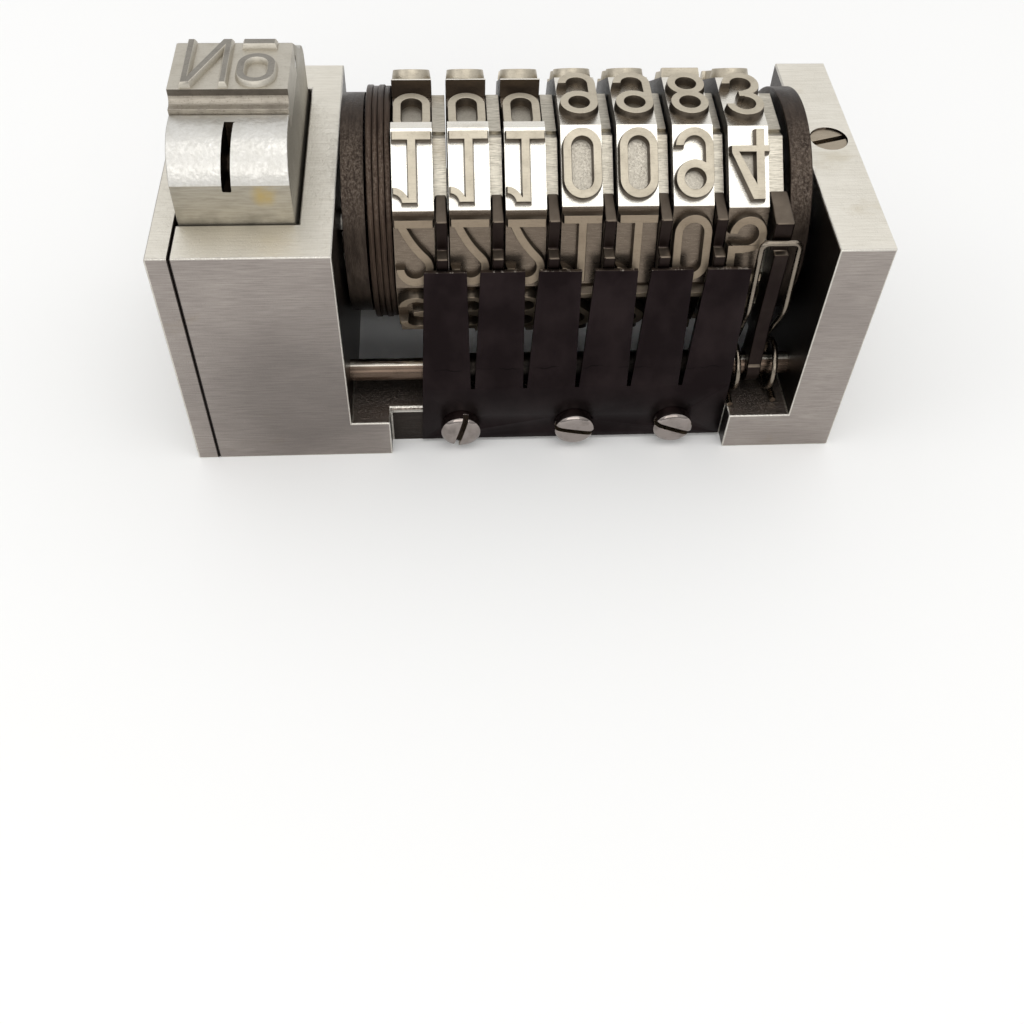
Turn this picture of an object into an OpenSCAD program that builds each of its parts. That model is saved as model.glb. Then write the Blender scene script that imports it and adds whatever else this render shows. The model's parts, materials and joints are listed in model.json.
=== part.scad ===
// Seven-wheel letterpress numbering head: frame, number wheels with ratchets, retaining pawls
// behind a comb spring, a swing with a drive pawl, and the plunger that carries the prefix type.
// X runs along the wheels, Y from the comb side to the back, Z up. Origin: bottom centre.

/* [Frame] */
// Depth of the head, front to back
body_d = 27; // [26.8:0.05:29]
// Height of the block and the cheek
body_h = 23.3; // [22.6:0.05:24]
// Thickness of the cover plate on the left end
plate_t = 1.85; // [1.2:0.05:3]
// Width of the plunger block
block_w = 12.45; // [12:0.05:15]
// Thickness of the right cheek
cheek_w = 4.61; // [4:0.05:7]
// Height of the feet and the two base bars
foot_h = 4.2; // [3.9:0.05:4.3]
// How far the left foot reaches past the block
left_foot_w = 3.47; // [2:0.05:4]
// How far the right foot reaches past the cheek
right_foot_w = 5.54; // [5.2:0.05:6]
// Depth of the front bar and the feet
front_bar_d = 7; // [6:0.1:7.2]
// Gap between the swing's ears and the rear bar
rear_bar_gap = 0.93; // [0.3:0.01:1.2]
// How far the front bar stands back for the comb spring
comb_recess_d = 1.75; // [1.6:0.05:2]

/* [Plunger] */
// Thickness of the pocket's wall beside the wheels
pocket_wall = 2.72; // [2.2:0.05:3.2]
// Thickness of the pocket's front wall
pocket_front_wall = 4.05; // [3.8:0.05:4.3]
// Thickness of the pocket's back wall
pocket_back_wall = 3.8; // [3:0.05:4.2]
// Thickness of the pocket's floor
pocket_floor_t = 4.5; // [3.6:0.1:5]
// Running gap on each side of the plunger
plunger_side_gap = 0.28; // [0.1:0.02:0.4]
// Running gap in front of the plunger
plunger_front_gap = 0.1; // [0.05:0.01:0.3]
// Running gap behind the plunger
plunger_back_gap = 0.4; // [0.1:0.05:0.6]
// Stroke of the plunger
stroke = 3.6; // [3:0.05:3.8]
// Radius of the plunger's rounded front edge
lobe_r = 4; // [3:0.1:4.5]
// Height of the plunger's top over the block
plunger_rise = 6.6; // [6:0.05:7.2]
// Depth of the prefix slug, front to back
slug_d = 7.65; // [7:0.05:8]
// Height of the slug's foot over the plunger's top
slug_foot_rise = 0.4; // [0.2:0.05:0.6]
// Height of the slug's type block over its foot
slug_block_rise = 1.1; // [0.5:0.05:1.2]
// Height of the raised prefix sign
prefix_relief = 0.5; // [0.4:0.05:0.9]
// Mean radius of the return springs
plunger_spring_r = 1.9; // [1.5:0.05:2.2]

/* [Wheels] */
// Distance from one wheel to the next
wheel_pitch = 4.6; // [4.5:0.05:5.2]
// Width of a wheel's face
face_w = 3.35; // [3.25:0.05:3.4]
// Distance from the axis to a wheel's flat face
face_apothem = 10.32; // [10.1:0.01:10.35]
// Height of the raised digits
digit_relief = 0.8; // [0.4:0.05:0.85]
// Width of a digit
digit_w = 3.3; // [2.8:0.05:3.3]
// Stroke width of the digits
digit_stroke = 0.85; // [0.5:0.05:0.9]
// Corner radius of the ratchets
ratchet_r = 9.5; // [9:0.05:9.7]
// Depth of a ratchet's notches
notch_depth = 0.3; // [0.2:0.05:0.8]
// Width of a ratchet
ratchet_w = 1.1; // [0.9:0.02:1.12]
// Width of the units wheel's ratchet
units_ratchet_w = 1.6; // [1.2:0.05:2]
// Diameter of the main shaft
shaft_d = 6; // [5:0.1:7]
// Distance of the axis from the front
axis_y = 15; // [14.95:0.01:15.05]
// Height of the axis
axis_z = 16.95; // [16.8:0.05:17.1]
// How far the leading zeros drop below the printing row
zero_drop = 1.7; // [1:0.05:1.8]

/* [Swing] */
// How far the swing's left arm stays inside the ratchets' corners
collar_inset = 0.1; // [0:0.05:0.6]
// Thickness of the swing's left arm
collar_t = 1.9; // [1.4:0.05:2.4]
// How far the swing's right arm reaches past the ratchets' corners
disc_rim = 0.2; // [0:0.05:0.4]
// Thickness of the swing's right arm
disc_t = 1.9; // [1:0.05:2]
// Thickness of one spacer disc
spacer_t = 0.5; // [0.4:0.02:0.8]
// How far the spacer discs reach past the ratchets' corners
spacer_rim = 0.5; // [0.1:0.05:0.8]
// Diameter of the crank pin
crank_pin_d = 1.6; // [1.2:0.05:1.8]
// Radius at which the drive pawl's shaft goes round
drive_r = 12.7; // [12.6:0.02:12.9]
// Diameter of the drive pawl's shaft
drive_shaft_d = 1.2; // [0.8:0.05:1.3]

/* [Pawls and comb] */
// Diameter of the rod that carries the retaining pawls
rod_d = 2; // [1.6:0.05:2.2]
// Distance of the rod from the front
rod_y = 4.3; // [4.25:0.01:4.4]
// Height of the rod
rod_z = 6.75; // [6.6:0.05:6.8]
// Width of a retaining pawl
pawl_w = 1; // [0.8:0.02:1.05]
// Width of the units pawl's head
units_pawl_w = 1.6; // [1.4:0.02:1.7]
// Height of a pawl's ledge
pawl_ledge_z = 20.05; // [19.9:0.05:20.6]
// Height of a pawl's tip
pawl_tip_z = 23.4; // [23.2:0.05:24]
// Thickness of the comb spring
comb_t = 0.35; // [0.25:0.01:0.36]
// Height of the comb's bend
comb_bend_z = 6.95; // [6.8:0.05:7.4]
// Length of a tine
tine_l = 12.15; // [11:0.05:12.3]
// Lean of the tines towards the pawls, in degrees
tine_lean = 7.4; // [6:0.05:7.5]
// Diameter of the comb screws' heads
comb_head_d = 3.6; // [2.6:0.05:3.7]
// Diameter of the comb screws' threads
comb_thread_d = 1.9; // [1.4:0.05:2.1]
// Diameter of the shaft's lock screw
lock_screw_d = 3.3; // [2.6:0.05:3.5]

/* [Hidden] */
$fn = 96;

// Counts and angles of the mechanism
WHEELS = 7;
ZEROS = 3;
SIDES = 10;
STEP = 360 / SIDES;
SPACERS = 4;
TINES = 6;
past = 1;
// Fit of fixed parts, running clearance of turning parts, gap between neighbouring bodies
fixed_gap = 0.02;
turn_gap = 0.04;
side_gap = 0.05;
wheel_gap = 0.1;
near_gap = 0.06;

// Stations along X, from the cover plate to the right cheek
collar_gap = 0.4;
spacer_gap = 0.2;
disc_gap = 0.4;
cheek_gap = 0.59;
block_x0 = plate_t + side_gap;
block_x1 = block_x0 + block_w;
collar_x0 = block_x1 + collar_gap;
collar_x1 = collar_x0 + collar_t;
spacer_x0 = collar_x1 + spacer_gap;
wheels_x0 = spacer_x0 + SPACERS * spacer_t + wheel_gap;
wheels_x1 = wheels_x0 + (WHEELS - 1) * wheel_pitch + face_w + units_ratchet_w;
disc_x0 = wheels_x1 + disc_gap;
disc_x1 = disc_x0 + disc_t;
cheek_x0 = disc_x1 + cheek_gap;
body_w = cheek_x0 + cheek_w;
foot_x1 = block_x1 + left_foot_w;
foot_x2 = cheek_x0 - right_foot_w;
shaft_r = shaft_d / 2;
rod_r = rod_d / 2;

// Plunger, its pocket and the slug on it
pocket_x1 = block_x1 - pocket_wall;
pocket_y1 = body_d - pocket_back_wall;
plunger_x0 = plate_t + plunger_side_gap;
plunger_x1 = pocket_x1 - plunger_side_gap;
plunger_w = plunger_x1 - plunger_x0;
plunger_y0 = pocket_front_wall + plunger_front_gap;
plunger_y1 = pocket_y1 - plunger_back_gap;
bottom_gap = 0.5;
plunger_z0 = pocket_floor_t + stroke + bottom_gap;
plunger_z1 = body_h + plunger_rise;
lobe_cut = 0.12;
lobe_y = plunger_y0 + lobe_r - lobe_cut;
lobe_z = plunger_z1 - lobe_r;
slug_land = 1;
slug_y0 = lobe_y + slug_land;
slug_y1 = slug_y0 + slug_d;
slug_seat_z = plunger_z1 - 1.3;
slug_foot_z = plunger_z1 + slug_foot_rise;
slug_top_z = slug_foot_z + slug_block_rise;
slug_step = 1.05;
slug_pin_r = 0.45;
slug_pin_l = 5;
slug_pin_sink = 0.4;
slug_bore_l = slug_pin_l + slug_pin_sink + 0.1;
slug_pin_z = slug_seat_z + 1.1;
hump_r = 2;
hump_z = plunger_z1 - 3.4;

// Crank: the pin goes from crank_up above the axis to as far below it
crank_up = 20;
crank_r = stroke / 2 / sin(crank_up);
crank_pin_r = crank_pin_d / 2;
crank_slot_d = 2.6;
crank_end_gap = 0.3;
crank_gap = 0.07;
crank_side_gap = 0.15;

collar_r = ratchet_r - collar_inset;
disc_r = ratchet_r + disc_rim;
spacer_r = ratchet_r + spacer_rim;

// Drive pawl: where its shaft and its tips stand round the axis at rest
drive_a = 252;
drive_tip_a = 222.6;
drive_tip_h = 1.35;
drive_hub_r = 1;
drive_reach = 0.2;
ear_r = 1.15;
rear_bar_y = axis_y - drive_r * cos(drive_a) + ear_r + rear_bar_gap;

// Pawls: the profile's corners follow the rod, the comb and the ratchets
pawl_hub_r = 1.6;
bush_wall = 0.35;
pawl_tine_gap = 0.05;
pawl_head_set = 1.3;
units_head_set = 0.65;
pawl_head_slope = 0.6;
pawl_tip_set = 6;
pawl_face_y = comb_recess_d + tine_l * sin(tine_lean) + pawl_tine_gap;
pawl_head_y = pawl_face_y + pawl_head_set;
pawl_side_gap = 0.07;
units_head_y = pawl_face_y + units_head_set;
units_bar_w = 1.3;
function wheel_x(i) = wheels_x0 + (i - 1) * wheel_pitch;
function ratchet_x(i) = wheel_x(i) + face_w;
function ratchet_width(i) = i == WHEELS ? units_ratchet_w : ratchet_w;
function pawl_x(i) = ratchet_x(i) + (i == WHEELS ? 3 : 1) * pawl_side_gap;
function pawl_width(i) = i == WHEELS ? units_pawl_w : pawl_w;

// Comb spring: outline at its foot, at the bend and at the tines' ends
comb_z0 = 0.4;
comb_y0 = comb_recess_d - comb_t;
comb_inset = 1.68;
comb_foot_gap = 0.2;
comb_x0 = wheel_x(1) + comb_inset;
comb_x1 = foot_x2 - comb_foot_gap;
comb_taper = 0.7;
comb_lap = 0.1;
slit_root_w = 0.35;
slit_top_w = 1.2;
slit_root = 0.1;
slit_shift = 0.42;
slit_drift = 0.09;
slit_lean = 0.26;
comb_screw_left = 3.57;
comb_screw_mid = 14.07;
comb_screw_right = 4.75;
comb_screw_x = [comb_x0 + comb_screw_left, comb_x0 + comb_screw_mid, comb_x1 - comb_screw_right];
comb_screw_lift = 0.3;
comb_screw_z = foot_h / 2 + comb_screw_lift;
comb_head_gap = 0.1;
comb_head_h = comb_y0 - comb_head_gap;
comb_thread_l = 3.2;
slot_w = 0.55;

// Cover plate screws
plate_screw_d = 1.4;
plate_screw_head_d = 2.6;
plate_screw_head_t = 0.7;
plate_screw_l = 5;
plate_screw_z = 19;
plate_screw_at = [
    [pocket_front_wall / 2, plate_screw_z],
    [body_d - pocket_back_wall / 2, plate_screw_z],
    [body_d / 2, pocket_floor_t / 2]
];

// Lock screw in the cheek
lock_x = cheek_x0 + 2.41;
lock_tip_z = axis_z + shaft_r - 0.25;
lock_sink = 0.15;
rod_socket = 2.2;
end_sink = 0.1;

// Top digit of each wheel at rest, and how far its play lets it lean to the front, in degrees
TOP_DIGIT = [0, 0, 0, 9, 9, 8, 3];
WHEEL_PLAY = [2.4, 2.2, 2.4, 1.2, 1.2, 1.4, 2.3];

// ---------------------------------------------------------------- helpers

// Moves the corner-based drawing so that the origin is at the bottom centre
module place() {
    translate([-body_w / 2, -body_d / 2, 0]) children();
}

// Extrudes a (Y, Z) outline along X from x0
module along_x(x0, length) {
    translate([x0, 0, 0]) rotate([90, 0, 90]) linear_extrude(length) children();
}

// Round bar along X
module bar_x(x0, x1, y, z, r) {
    translate([x0, y, z]) rotate([0, 90, 0]) cylinder(h = x1 - x0, r = r);
}

// Point in (Y, Z) round the axis: 0 degrees points to the front, 90 up
function round_axis(a, r) = [axis_y - r * cos(a), axis_z + r * sin(a)];

// Flat stadium outline
module stadium(w, h) {
    square([w, h - w], center = true);
    for (s = [-1, 1]) translate([0, s * (h - w) / 2]) circle(d = w);
}

// Wire swept along points: normals carried on from point to point
function unit(v) = v / norm(v);
function tangent(p, i) = unit(p[min(i + 1, len(p) - 1)] - p[max(i - 1, 0)]);
function across(n, t) = unit(n - t * (n * t));
function normals(p, n, i = 0) =
    i == len(p) ? [] :
    let (next = across(n, tangent(p, i)))
    concat([next], normals(p, next, i + 1));
module wire(p, r, start, sides = 8) {
    n = normals(p, start);
    rings = [
        for (i = [0:len(p) - 1])
        for (k = [0:sides - 1])
        let (a = 360 * k / sides)
        p[i] + r * (cos(a) * n[i] + sin(a) * cross(tangent(p, i), n[i]))
    ];
    skin = [
        for (i = [0:len(p) - 2])
        for (k = [0:sides - 1])
        let (a = i * sides + k)
        let (b = i * sides + (k + 1) % sides)
        [a + sides, b + sides, b, a]
    ];
    first = [for (k = [0:sides - 1]) k];
    last = [for (k = [sides - 1:-1:0]) (len(p) - 1) * sides + k];
    polyhedron(points = rings, faces = concat([first], skin, [last]), convexity = 8);
}

// ---------------------------------------------------------------- digits

digit_h = 2 * digit_w - 0.8 * digit_stroke;
bowl_y = (digit_h - digit_w) / 2;

module bowl(y) {
    translate([0, y])
    difference() {
        circle(d = digit_w);
        circle(d = digit_w - 2 * digit_stroke);
    }
}
module digit_0(h = digit_h) {
    difference() {
        stadium(digit_w, h);
        stadium(digit_w - 2 * digit_stroke, h - 2 * digit_stroke);
    }
}
module digit_1() {
    flag_r = digit_w / 2 - digit_stroke / 4;
    square([digit_stroke, digit_h], center = true);
    translate([-digit_w / 2, -digit_h / 2]) square([digit_w, digit_stroke]);
    intersection() {
        translate([-digit_w / 2, digit_h / 2])
        difference() {
            circle(r = flag_r);
            circle(r = flag_r - digit_stroke * 0.85);
        }
        translate([-digit_w / 2, digit_h / 2 - flag_r]) square(flag_r);
    }
}
module digit_2() {
    w = digit_w / 2;
    s = digit_stroke;
    // The neck is an arc from the base's end to the bowl, which it joins at 45 degrees
    mid_r = w - s / 2;
    join = [mid_r * sin(45), bowl_y - mid_r * sin(45)];
    chord = [s / 2 - w, -digit_h / 2] - join;
    inward = [sin(45), -sin(45)];
    neck_r = chord * chord / (2 * chord * inward);
    difference() {
        bowl(bowl_y);
        translate([0, bowl_y]) polygon([[0, 0], [-digit_w, 0], [-digit_w, -digit_w], [digit_w, -digit_w]]);
    }
    translate([-w, -digit_h / 2]) square([digit_w, s]);
    intersection() {
        translate(join + neck_r * inward)
        difference() {
            circle(r = neck_r + s / 2);
            circle(r = neck_r - s / 2);
        }
        translate([-w, -digit_h / 2]) polygon([
            [0, 0],
            [join[0] + join[1] + w + digit_h / 2, 0],
            [0, join[0] + join[1] + w + digit_h / 2]
        ]);
    }
}
module digit_3() {
    difference() {
        union() {
            bowl(bowl_y);
            bowl(-bowl_y);
        }
        translate([-digit_w / 2 - past, -bowl_y]) square([digit_w / 2 + past, 2 * bowl_y]);
    }
    translate([-digit_stroke / 2, -digit_stroke / 2]) square([digit_stroke, digit_stroke]);
}
module digit_4() {
    w = digit_w / 2;
    s = digit_stroke;
    stem_x = w - 1.5 * s;
    bar_y = -digit_h / 2 + 1.6 * s;
    bar_t = 0.8 * s;
    translate([stem_x, -digit_h / 2]) square([s, digit_h]);
    translate([-w, bar_y]) square([digit_w, bar_t]);
    polygon([
        [-w, bar_y],
        [-w, bar_y + bar_t],
        [stem_x - 0.3 * s, digit_h / 2],
        [stem_x + s, digit_h / 2],
        [stem_x, digit_h / 2 - 2 * s],
        [-w + s, bar_y + bar_t],
        [-w + s, bar_y]
    ]);
}
module digit_5() {
    w = digit_w / 2;
    s = digit_stroke;
    difference() {
        bowl(-bowl_y);
        translate([-w - past, -bowl_y]) square([w + past, digit_w / 2 - s]);
    }
    translate([-w, digit_h / 2 - s]) square([digit_w, s]);
    translate([-w, -s / 2]) square([s, digit_h / 2 + s / 2]);
    translate([-w, -s / 2]) square([w, s]);
}
module digit_6() {
    bowl(-bowl_y);
    difference() {
        bowl(bowl_y);
        translate([-digit_w, bowl_y - digit_w]) square([2 * digit_w, digit_w]);
    }
    translate([-digit_w / 2, -bowl_y]) square([digit_stroke, 2 * bowl_y]);
}
module digit_7() {
    w = digit_w / 2;
    s = digit_stroke;
    translate([-w, digit_h / 2 - s]) square([digit_w, s]);
    polygon([
        [w, digit_h / 2 - s],
        [w - 1.15 * s, digit_h / 2 - s],
        [-1.05 * s, -0.85 * s],
        [-1.35 * s, -digit_h / 2],
        [-0.3 * s, -digit_h / 2],
        [0, -0.7 * s]
    ]);
}
module digit_8() {
    bowl(bowl_y);
    bowl(-bowl_y);
}
module digit(d) {
    if (d == 0) digit_0();
    if (d == 1) digit_1();
    if (d == 2) digit_2();
    if (d == 3) digit_3();
    if (d == 4) digit_4();
    if (d == 5) digit_5();
    if (d == 6) digit_6();
    if (d == 7) digit_7();
    if (d == 8) digit_8();
    if (d == 9) rotate(180) digit_6();
}

// A raised digit on the flat at the top of a wheel: its head points to the front
module raised_digit(d, x, z) {
    translate([x, axis_y, z]) mirror([0, 1, 0]) linear_extrude(digit_relief) digit(d);
}

// ---------------------------------------------------------------- frame

// Slot in the pocket's wall through which the crank pin swings
module crank_window() {
    a = crank_up + 2;
    r0 = crank_r - crank_pin_r - crank_side_gap;
    r1 = crank_r + crank_pin_r + crank_side_gap;
    along_x(pocket_x1 - past, pocket_wall + 2 * past)
    union() {
        intersection() {
            translate([axis_y, axis_z])
            difference() {
                circle(r = r1);
                circle(r = r0);
            }
            polygon([[axis_y, axis_z], round_axis(a, 2 * r1), round_axis(-a, 2 * r1)]);
        }
        for (s = [-1, 1]) translate(round_axis(s * a, crank_r)) circle(r = (r1 - r0) / 2);
    }
}

module frame() {
    chamfer = 0.45;
    color("silver")
    place()
    difference() {
        union() {
            translate([block_x0, 0, 0]) cube([block_w, body_d, body_h]);
            translate([cheek_x0, 0, 0]) cube([cheek_w, body_d, body_h]);
            translate([block_x1 - past, 0, 0]) cube([left_foot_w + past, front_bar_d, foot_h]);
            translate([foot_x2, 0, 0]) cube([right_foot_w + past, front_bar_d, foot_h]);
            translate([block_x1 - past, comb_recess_d, 0])
            cube([cheek_x0 - block_x1 + 2 * past, front_bar_d - comb_recess_d, foot_h]);
            translate([block_x1 - past, rear_bar_y, 0])
            cube([cheek_x0 - block_x1 + 2 * past, body_d - rear_bar_y, foot_h]);
        }
        // Pocket for the plunger, open at the top and to the cover plate
        translate([block_x0 - past, pocket_front_wall, pocket_floor_t])
        cube([pocket_x1 - block_x0 + past, pocket_y1 - pocket_front_wall, body_h]);
        crank_window();
        // Bores for the shaft and the rod
        bar_x(pocket_x1 - past, body_w + past, axis_y, axis_z, shaft_r + fixed_gap);
        bar_x(block_x1 - rod_socket, block_x1 + past, rod_y, rod_z, rod_r + fixed_gap);
        bar_x(cheek_x0 - past, body_w + past, rod_y, rod_z, rod_r + fixed_gap);
        // Tapped hole of the lock screw
        translate([lock_x, axis_y, axis_z]) cylinder(h = body_h, r = lock_screw_d / 2 + fixed_gap);
        // Tapped holes of the comb screws
        for (x = comb_screw_x)
        translate([x, comb_recess_d - past, comb_screw_z])
        rotate([-90, 0, 0])
        cylinder(h = comb_thread_l + 2 * past, r = comb_thread_d / 2 + fixed_gap);
        // Tapped holes of the cover plate's screws
        for (p = plate_screw_at)
        bar_x(block_x0 - past, block_x0 + plate_screw_l, p[0], p[1], plate_screw_d / 2 + fixed_gap);
        // Chamfer along the bar behind the comb
        translate([foot_x1, comb_recess_d, foot_h])
        rotate([45, 0, 0])
        translate([0, -chamfer / 2, -chamfer / 2])
        cube([foot_x2 - foot_x1, chamfer, chamfer]);
    }
}

module side_plate() {
    head_r = plate_screw_head_d / 2;
    thread_r = plate_screw_d / 2;
    wide_r = head_r + end_sink + fixed_gap;
    bore_r = thread_r + fixed_gap;
    sink_l = plate_screw_head_t * (wide_r - bore_r) / (head_r - thread_r);
    color("silver")
    place()
    difference() {
        cube([plate_t, body_d, body_h]);
        for (p = plate_screw_at) {
            bar_x(-past, plate_t + past, p[0], p[1], plate_screw_d / 2 + fixed_gap);
            // Countersink, a little wider than the screw's cone all the way down
            translate([0, p[0], p[1]])
            rotate([0, 90, 0])
            cylinder(h = sink_l, r1 = wide_r, r2 = bore_r);
        }
    }
}

// Countersunk slotted screws, flush with the plate
module side_plate_screws() {
    color("lightgray")
    place()
    for (p = plate_screw_at)
    difference() {
        union() {
            translate([end_sink / 2, p[0], p[1]])
            rotate([0, 90, 0])
            cylinder(h = plate_screw_head_t, r1 = plate_screw_head_d / 2, r2 = plate_screw_d / 2);
            bar_x(end_sink, plate_screw_l, p[0], p[1], plate_screw_d / 2);
        }
        translate([0, p[0], p[1]])
        rotate([30, 0, 0])
        cube([plate_screw_head_t, plate_screw_head_d + past, slot_w], center = true);
    }
}

module main_shaft() {
    color("silver")
    place()
    difference() {
        bar_x(pocket_x1 + end_sink, body_w - end_sink, axis_y, axis_z, shaft_r);
        translate([lock_x, axis_y, lock_tip_z]) cylinder(h = shaft_r, r = lock_screw_d / 2 + fixed_gap);
    }
}

module shaft_lock_screw() {
    slot_deep = 0.9;
    color("gainsboro")
    place()
    translate([lock_x, axis_y, 0])
    difference() {
        translate([0, 0, lock_tip_z]) cylinder(h = body_h - lock_sink - lock_tip_z, r = lock_screw_d / 2);
        translate([0, 0, body_h - lock_sink])
        rotate([0, 0, 17])
        cube([lock_screw_d + past, slot_w, 2 * slot_deep], center = true);
    }
}

module pawl_rod() {
    color("lightgray")
    place()
    bar_x(block_x1 - rod_socket + end_sink, body_w - end_sink, rod_y, rod_z, rod_r);
}

// Bushes on the rod, one between each two pawls
module pawl_spacers() {
    bush_r = rod_r + bush_wall;
    last_end = spring_left_x[1] - spring_wire_r - side_gap;
    color("dimgray")
    place()
    for (i = [1:WHEELS - 1])
    let (end = i == WHEELS - 1 ? last_end : pawl_x(i) + wheel_pitch - side_gap)
    difference() {
        bar_x(pawl_x(i) + pawl_w + side_gap, end, rod_y, rod_z, bush_r);
        bar_x(pawl_x(i), pawl_x(i) + wheel_pitch, rod_y, rod_z, rod_r + fixed_gap);
    }
}

// ---------------------------------------------------------------- comb spring

function slit_x(k) = pawl_x(k) + pawl_w / 2 + wheel_pitch / 2 + slit_shift + slit_drift * (k - 1);
function slit_foot_x(k) = slit_x(k) - slit_lean;

module comb_spring() {
    hole_gap = 0.12;
    color([0.15, 0.14, 0.15])
    place()
    difference() {
        union() {
            translate([0, comb_recess_d, 0])
            rotate([90, 0, 0])
            linear_extrude(comb_t)
            polygon([
                [comb_x0, comb_z0],
                [comb_x1, comb_z0],
                [comb_x1, comb_bend_z],
                [comb_x0 + 0.3 * comb_taper, comb_bend_z]
            ]);
            // Tines, leaning back from the bend
            translate([0, comb_recess_d, comb_bend_z])
            rotate([90 - tine_lean, 0, 0])
            linear_extrude(comb_t)
            difference() {
                polygon([
                    [comb_x0 + 0.3 * comb_taper, -comb_lap],
                    [comb_x1, -comb_lap],
                    [comb_x1, tine_l],
                    [comb_x0 + comb_taper, tine_l]
                ]);
                for (k = [1:TINES - 1])
                polygon([
                    [slit_foot_x(k) - slit_root_w / 2, slit_root],
                    [slit_foot_x(k) + slit_root_w / 2, slit_root],
                    [slit_x(k) + slit_top_w / 2, tine_l + past],
                    [slit_x(k) - slit_top_w / 2, tine_l + past]
                ]);
            }
        }
        for (x = comb_screw_x)
        translate([x, -past, comb_screw_z])
        rotate([-90, 0, 0])
        cylinder(h = comb_recess_d + 2 * past, r = comb_thread_d / 2 + hole_gap);
    }
}

// Slotted cheese-head screws with a slight dome, each with its own slot angle
module comb_screws() {
    dome_r = 3.2;
    slot_deep = 0.6;
    turns = [75, -11, -22];
    head_y = comb_y0 - comb_head_h;
    color("white")
    place()
    for (i = [0:2])
    translate([comb_screw_x[i], head_y, comb_screw_z])
    rotate([-90, 0, 0])
    difference() {
        union() {
            intersection() {
                cylinder(h = comb_head_h, r = comb_head_d / 2);
                translate([0, 0, dome_r]) sphere(r = dome_r);
            }
            translate([0, 0, comb_head_h / 2])
            cylinder(h = comb_head_h / 2 + comb_t + comb_thread_l, r = comb_thread_d / 2);
        }
        rotate([0, 0, -turns[i]]) cube([comb_head_d + past, slot_w, 2 * slot_deep], center = true);
    }
}

// ---------------------------------------------------------------- units pawl's wire spring

spring_wire_r = 0.27;
spring_coil_r = 1.6;
spring_coil_l = 0.75;
// The coil starts under the rod and ends behind it, in degrees
coil_start = -70;
coil_end = 380;
coil_steps = 15;
spring_lift = 0.79;
spring_top_z = pawl_ledge_z + spring_wire_r + spring_lift;
spring_top_y = units_head_y - spring_wire_r - near_gap;
spring_knee = [rod_y + 1.5, rod_z + 1.6];
spring_front = [rod_y - 1.2, rod_z + 7.2];
spring_foot_z = foot_h + spring_wire_r + near_gap;
spring_bend_r = 0.6;
// Left and right: tip on the foot, start of the coil, upright leg
spring_left_x = [foot_x2 + 0.27, foot_x2 + 0.3, foot_x2 + 0.43];
spring_right_x = [cheek_x0 - 0.92, cheek_x0 - 0.92, disc_x0 + 0.6];
spring_tip_y = [rod_y - 3.1, rod_y - 2.65];

// From the tip on the foot, round the rod and up to the top bend
function spring_side(x, tip_y, turn) =
    let (end_x = x[1] + turn * spring_coil_l)
    concat(
        [[x[0], tip_y, spring_foot_z], [x[0], (tip_y + rod_y) / 2, spring_foot_z]],
        [
            for (k = [0:coil_steps])
            let (a = coil_start + (coil_end - coil_start) * k / coil_steps)
            [
                x[1] + turn * spring_coil_l * k / coil_steps,
                rod_y + spring_coil_r * cos(a),
                rod_z + spring_coil_r * sin(a)
            ]
        ],
        [[end_x, spring_knee[0], spring_knee[1]]],
        [[x[2], spring_front[0] + 0.2, spring_front[1] - 0.5]],
        [[x[2], spring_front[0], spring_front[1] + 0.3]],
        [[x[2], spring_front[0], spring_top_z - spring_bend_r - 2]],
        [[x[2], spring_top_y, spring_top_z - spring_bend_r]]
    );
function spring_bend(x, side) = [
    for (k = [1:4])
    let (a = 90 * k / 4)
    [x + side * spring_bend_r * (1 - cos(a)), spring_top_y, spring_top_z - spring_bend_r * (1 - sin(a))]
];
function reversed(p) = [for (i = [len(p) - 1:-1:0]) p[i]];

module units_pawl_spring() {
    path = concat(
        spring_side(spring_left_x, spring_tip_y[0], 1),
        spring_bend(spring_left_x[2], 1),
        reversed(spring_bend(spring_right_x[2], -1)),
        reversed(spring_side(spring_right_x, spring_tip_y[1], -1))
    );
    color("lightgray")
    place()
    wire(path, spring_wire_r, [1, 0, 0]);
}

// ---------------------------------------------------------------- spacer discs on the shaft

module spacer_disc(i) {
    trim = i % 2 == 0 ? 0.1 : 0;
    color([0.22, 0.17, 0.15])
    place()
    difference() {
        bar_x(spacer_x0 + (i - 1) * spacer_t, spacer_x0 + i * spacer_t, axis_y, axis_z, spacer_r - trim);
        bar_x(spacer_x0 - past, wheels_x0, axis_y, axis_z, shaft_r + fixed_gap);
    }
}

// ---------------------------------------------------------------- plunger

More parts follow.
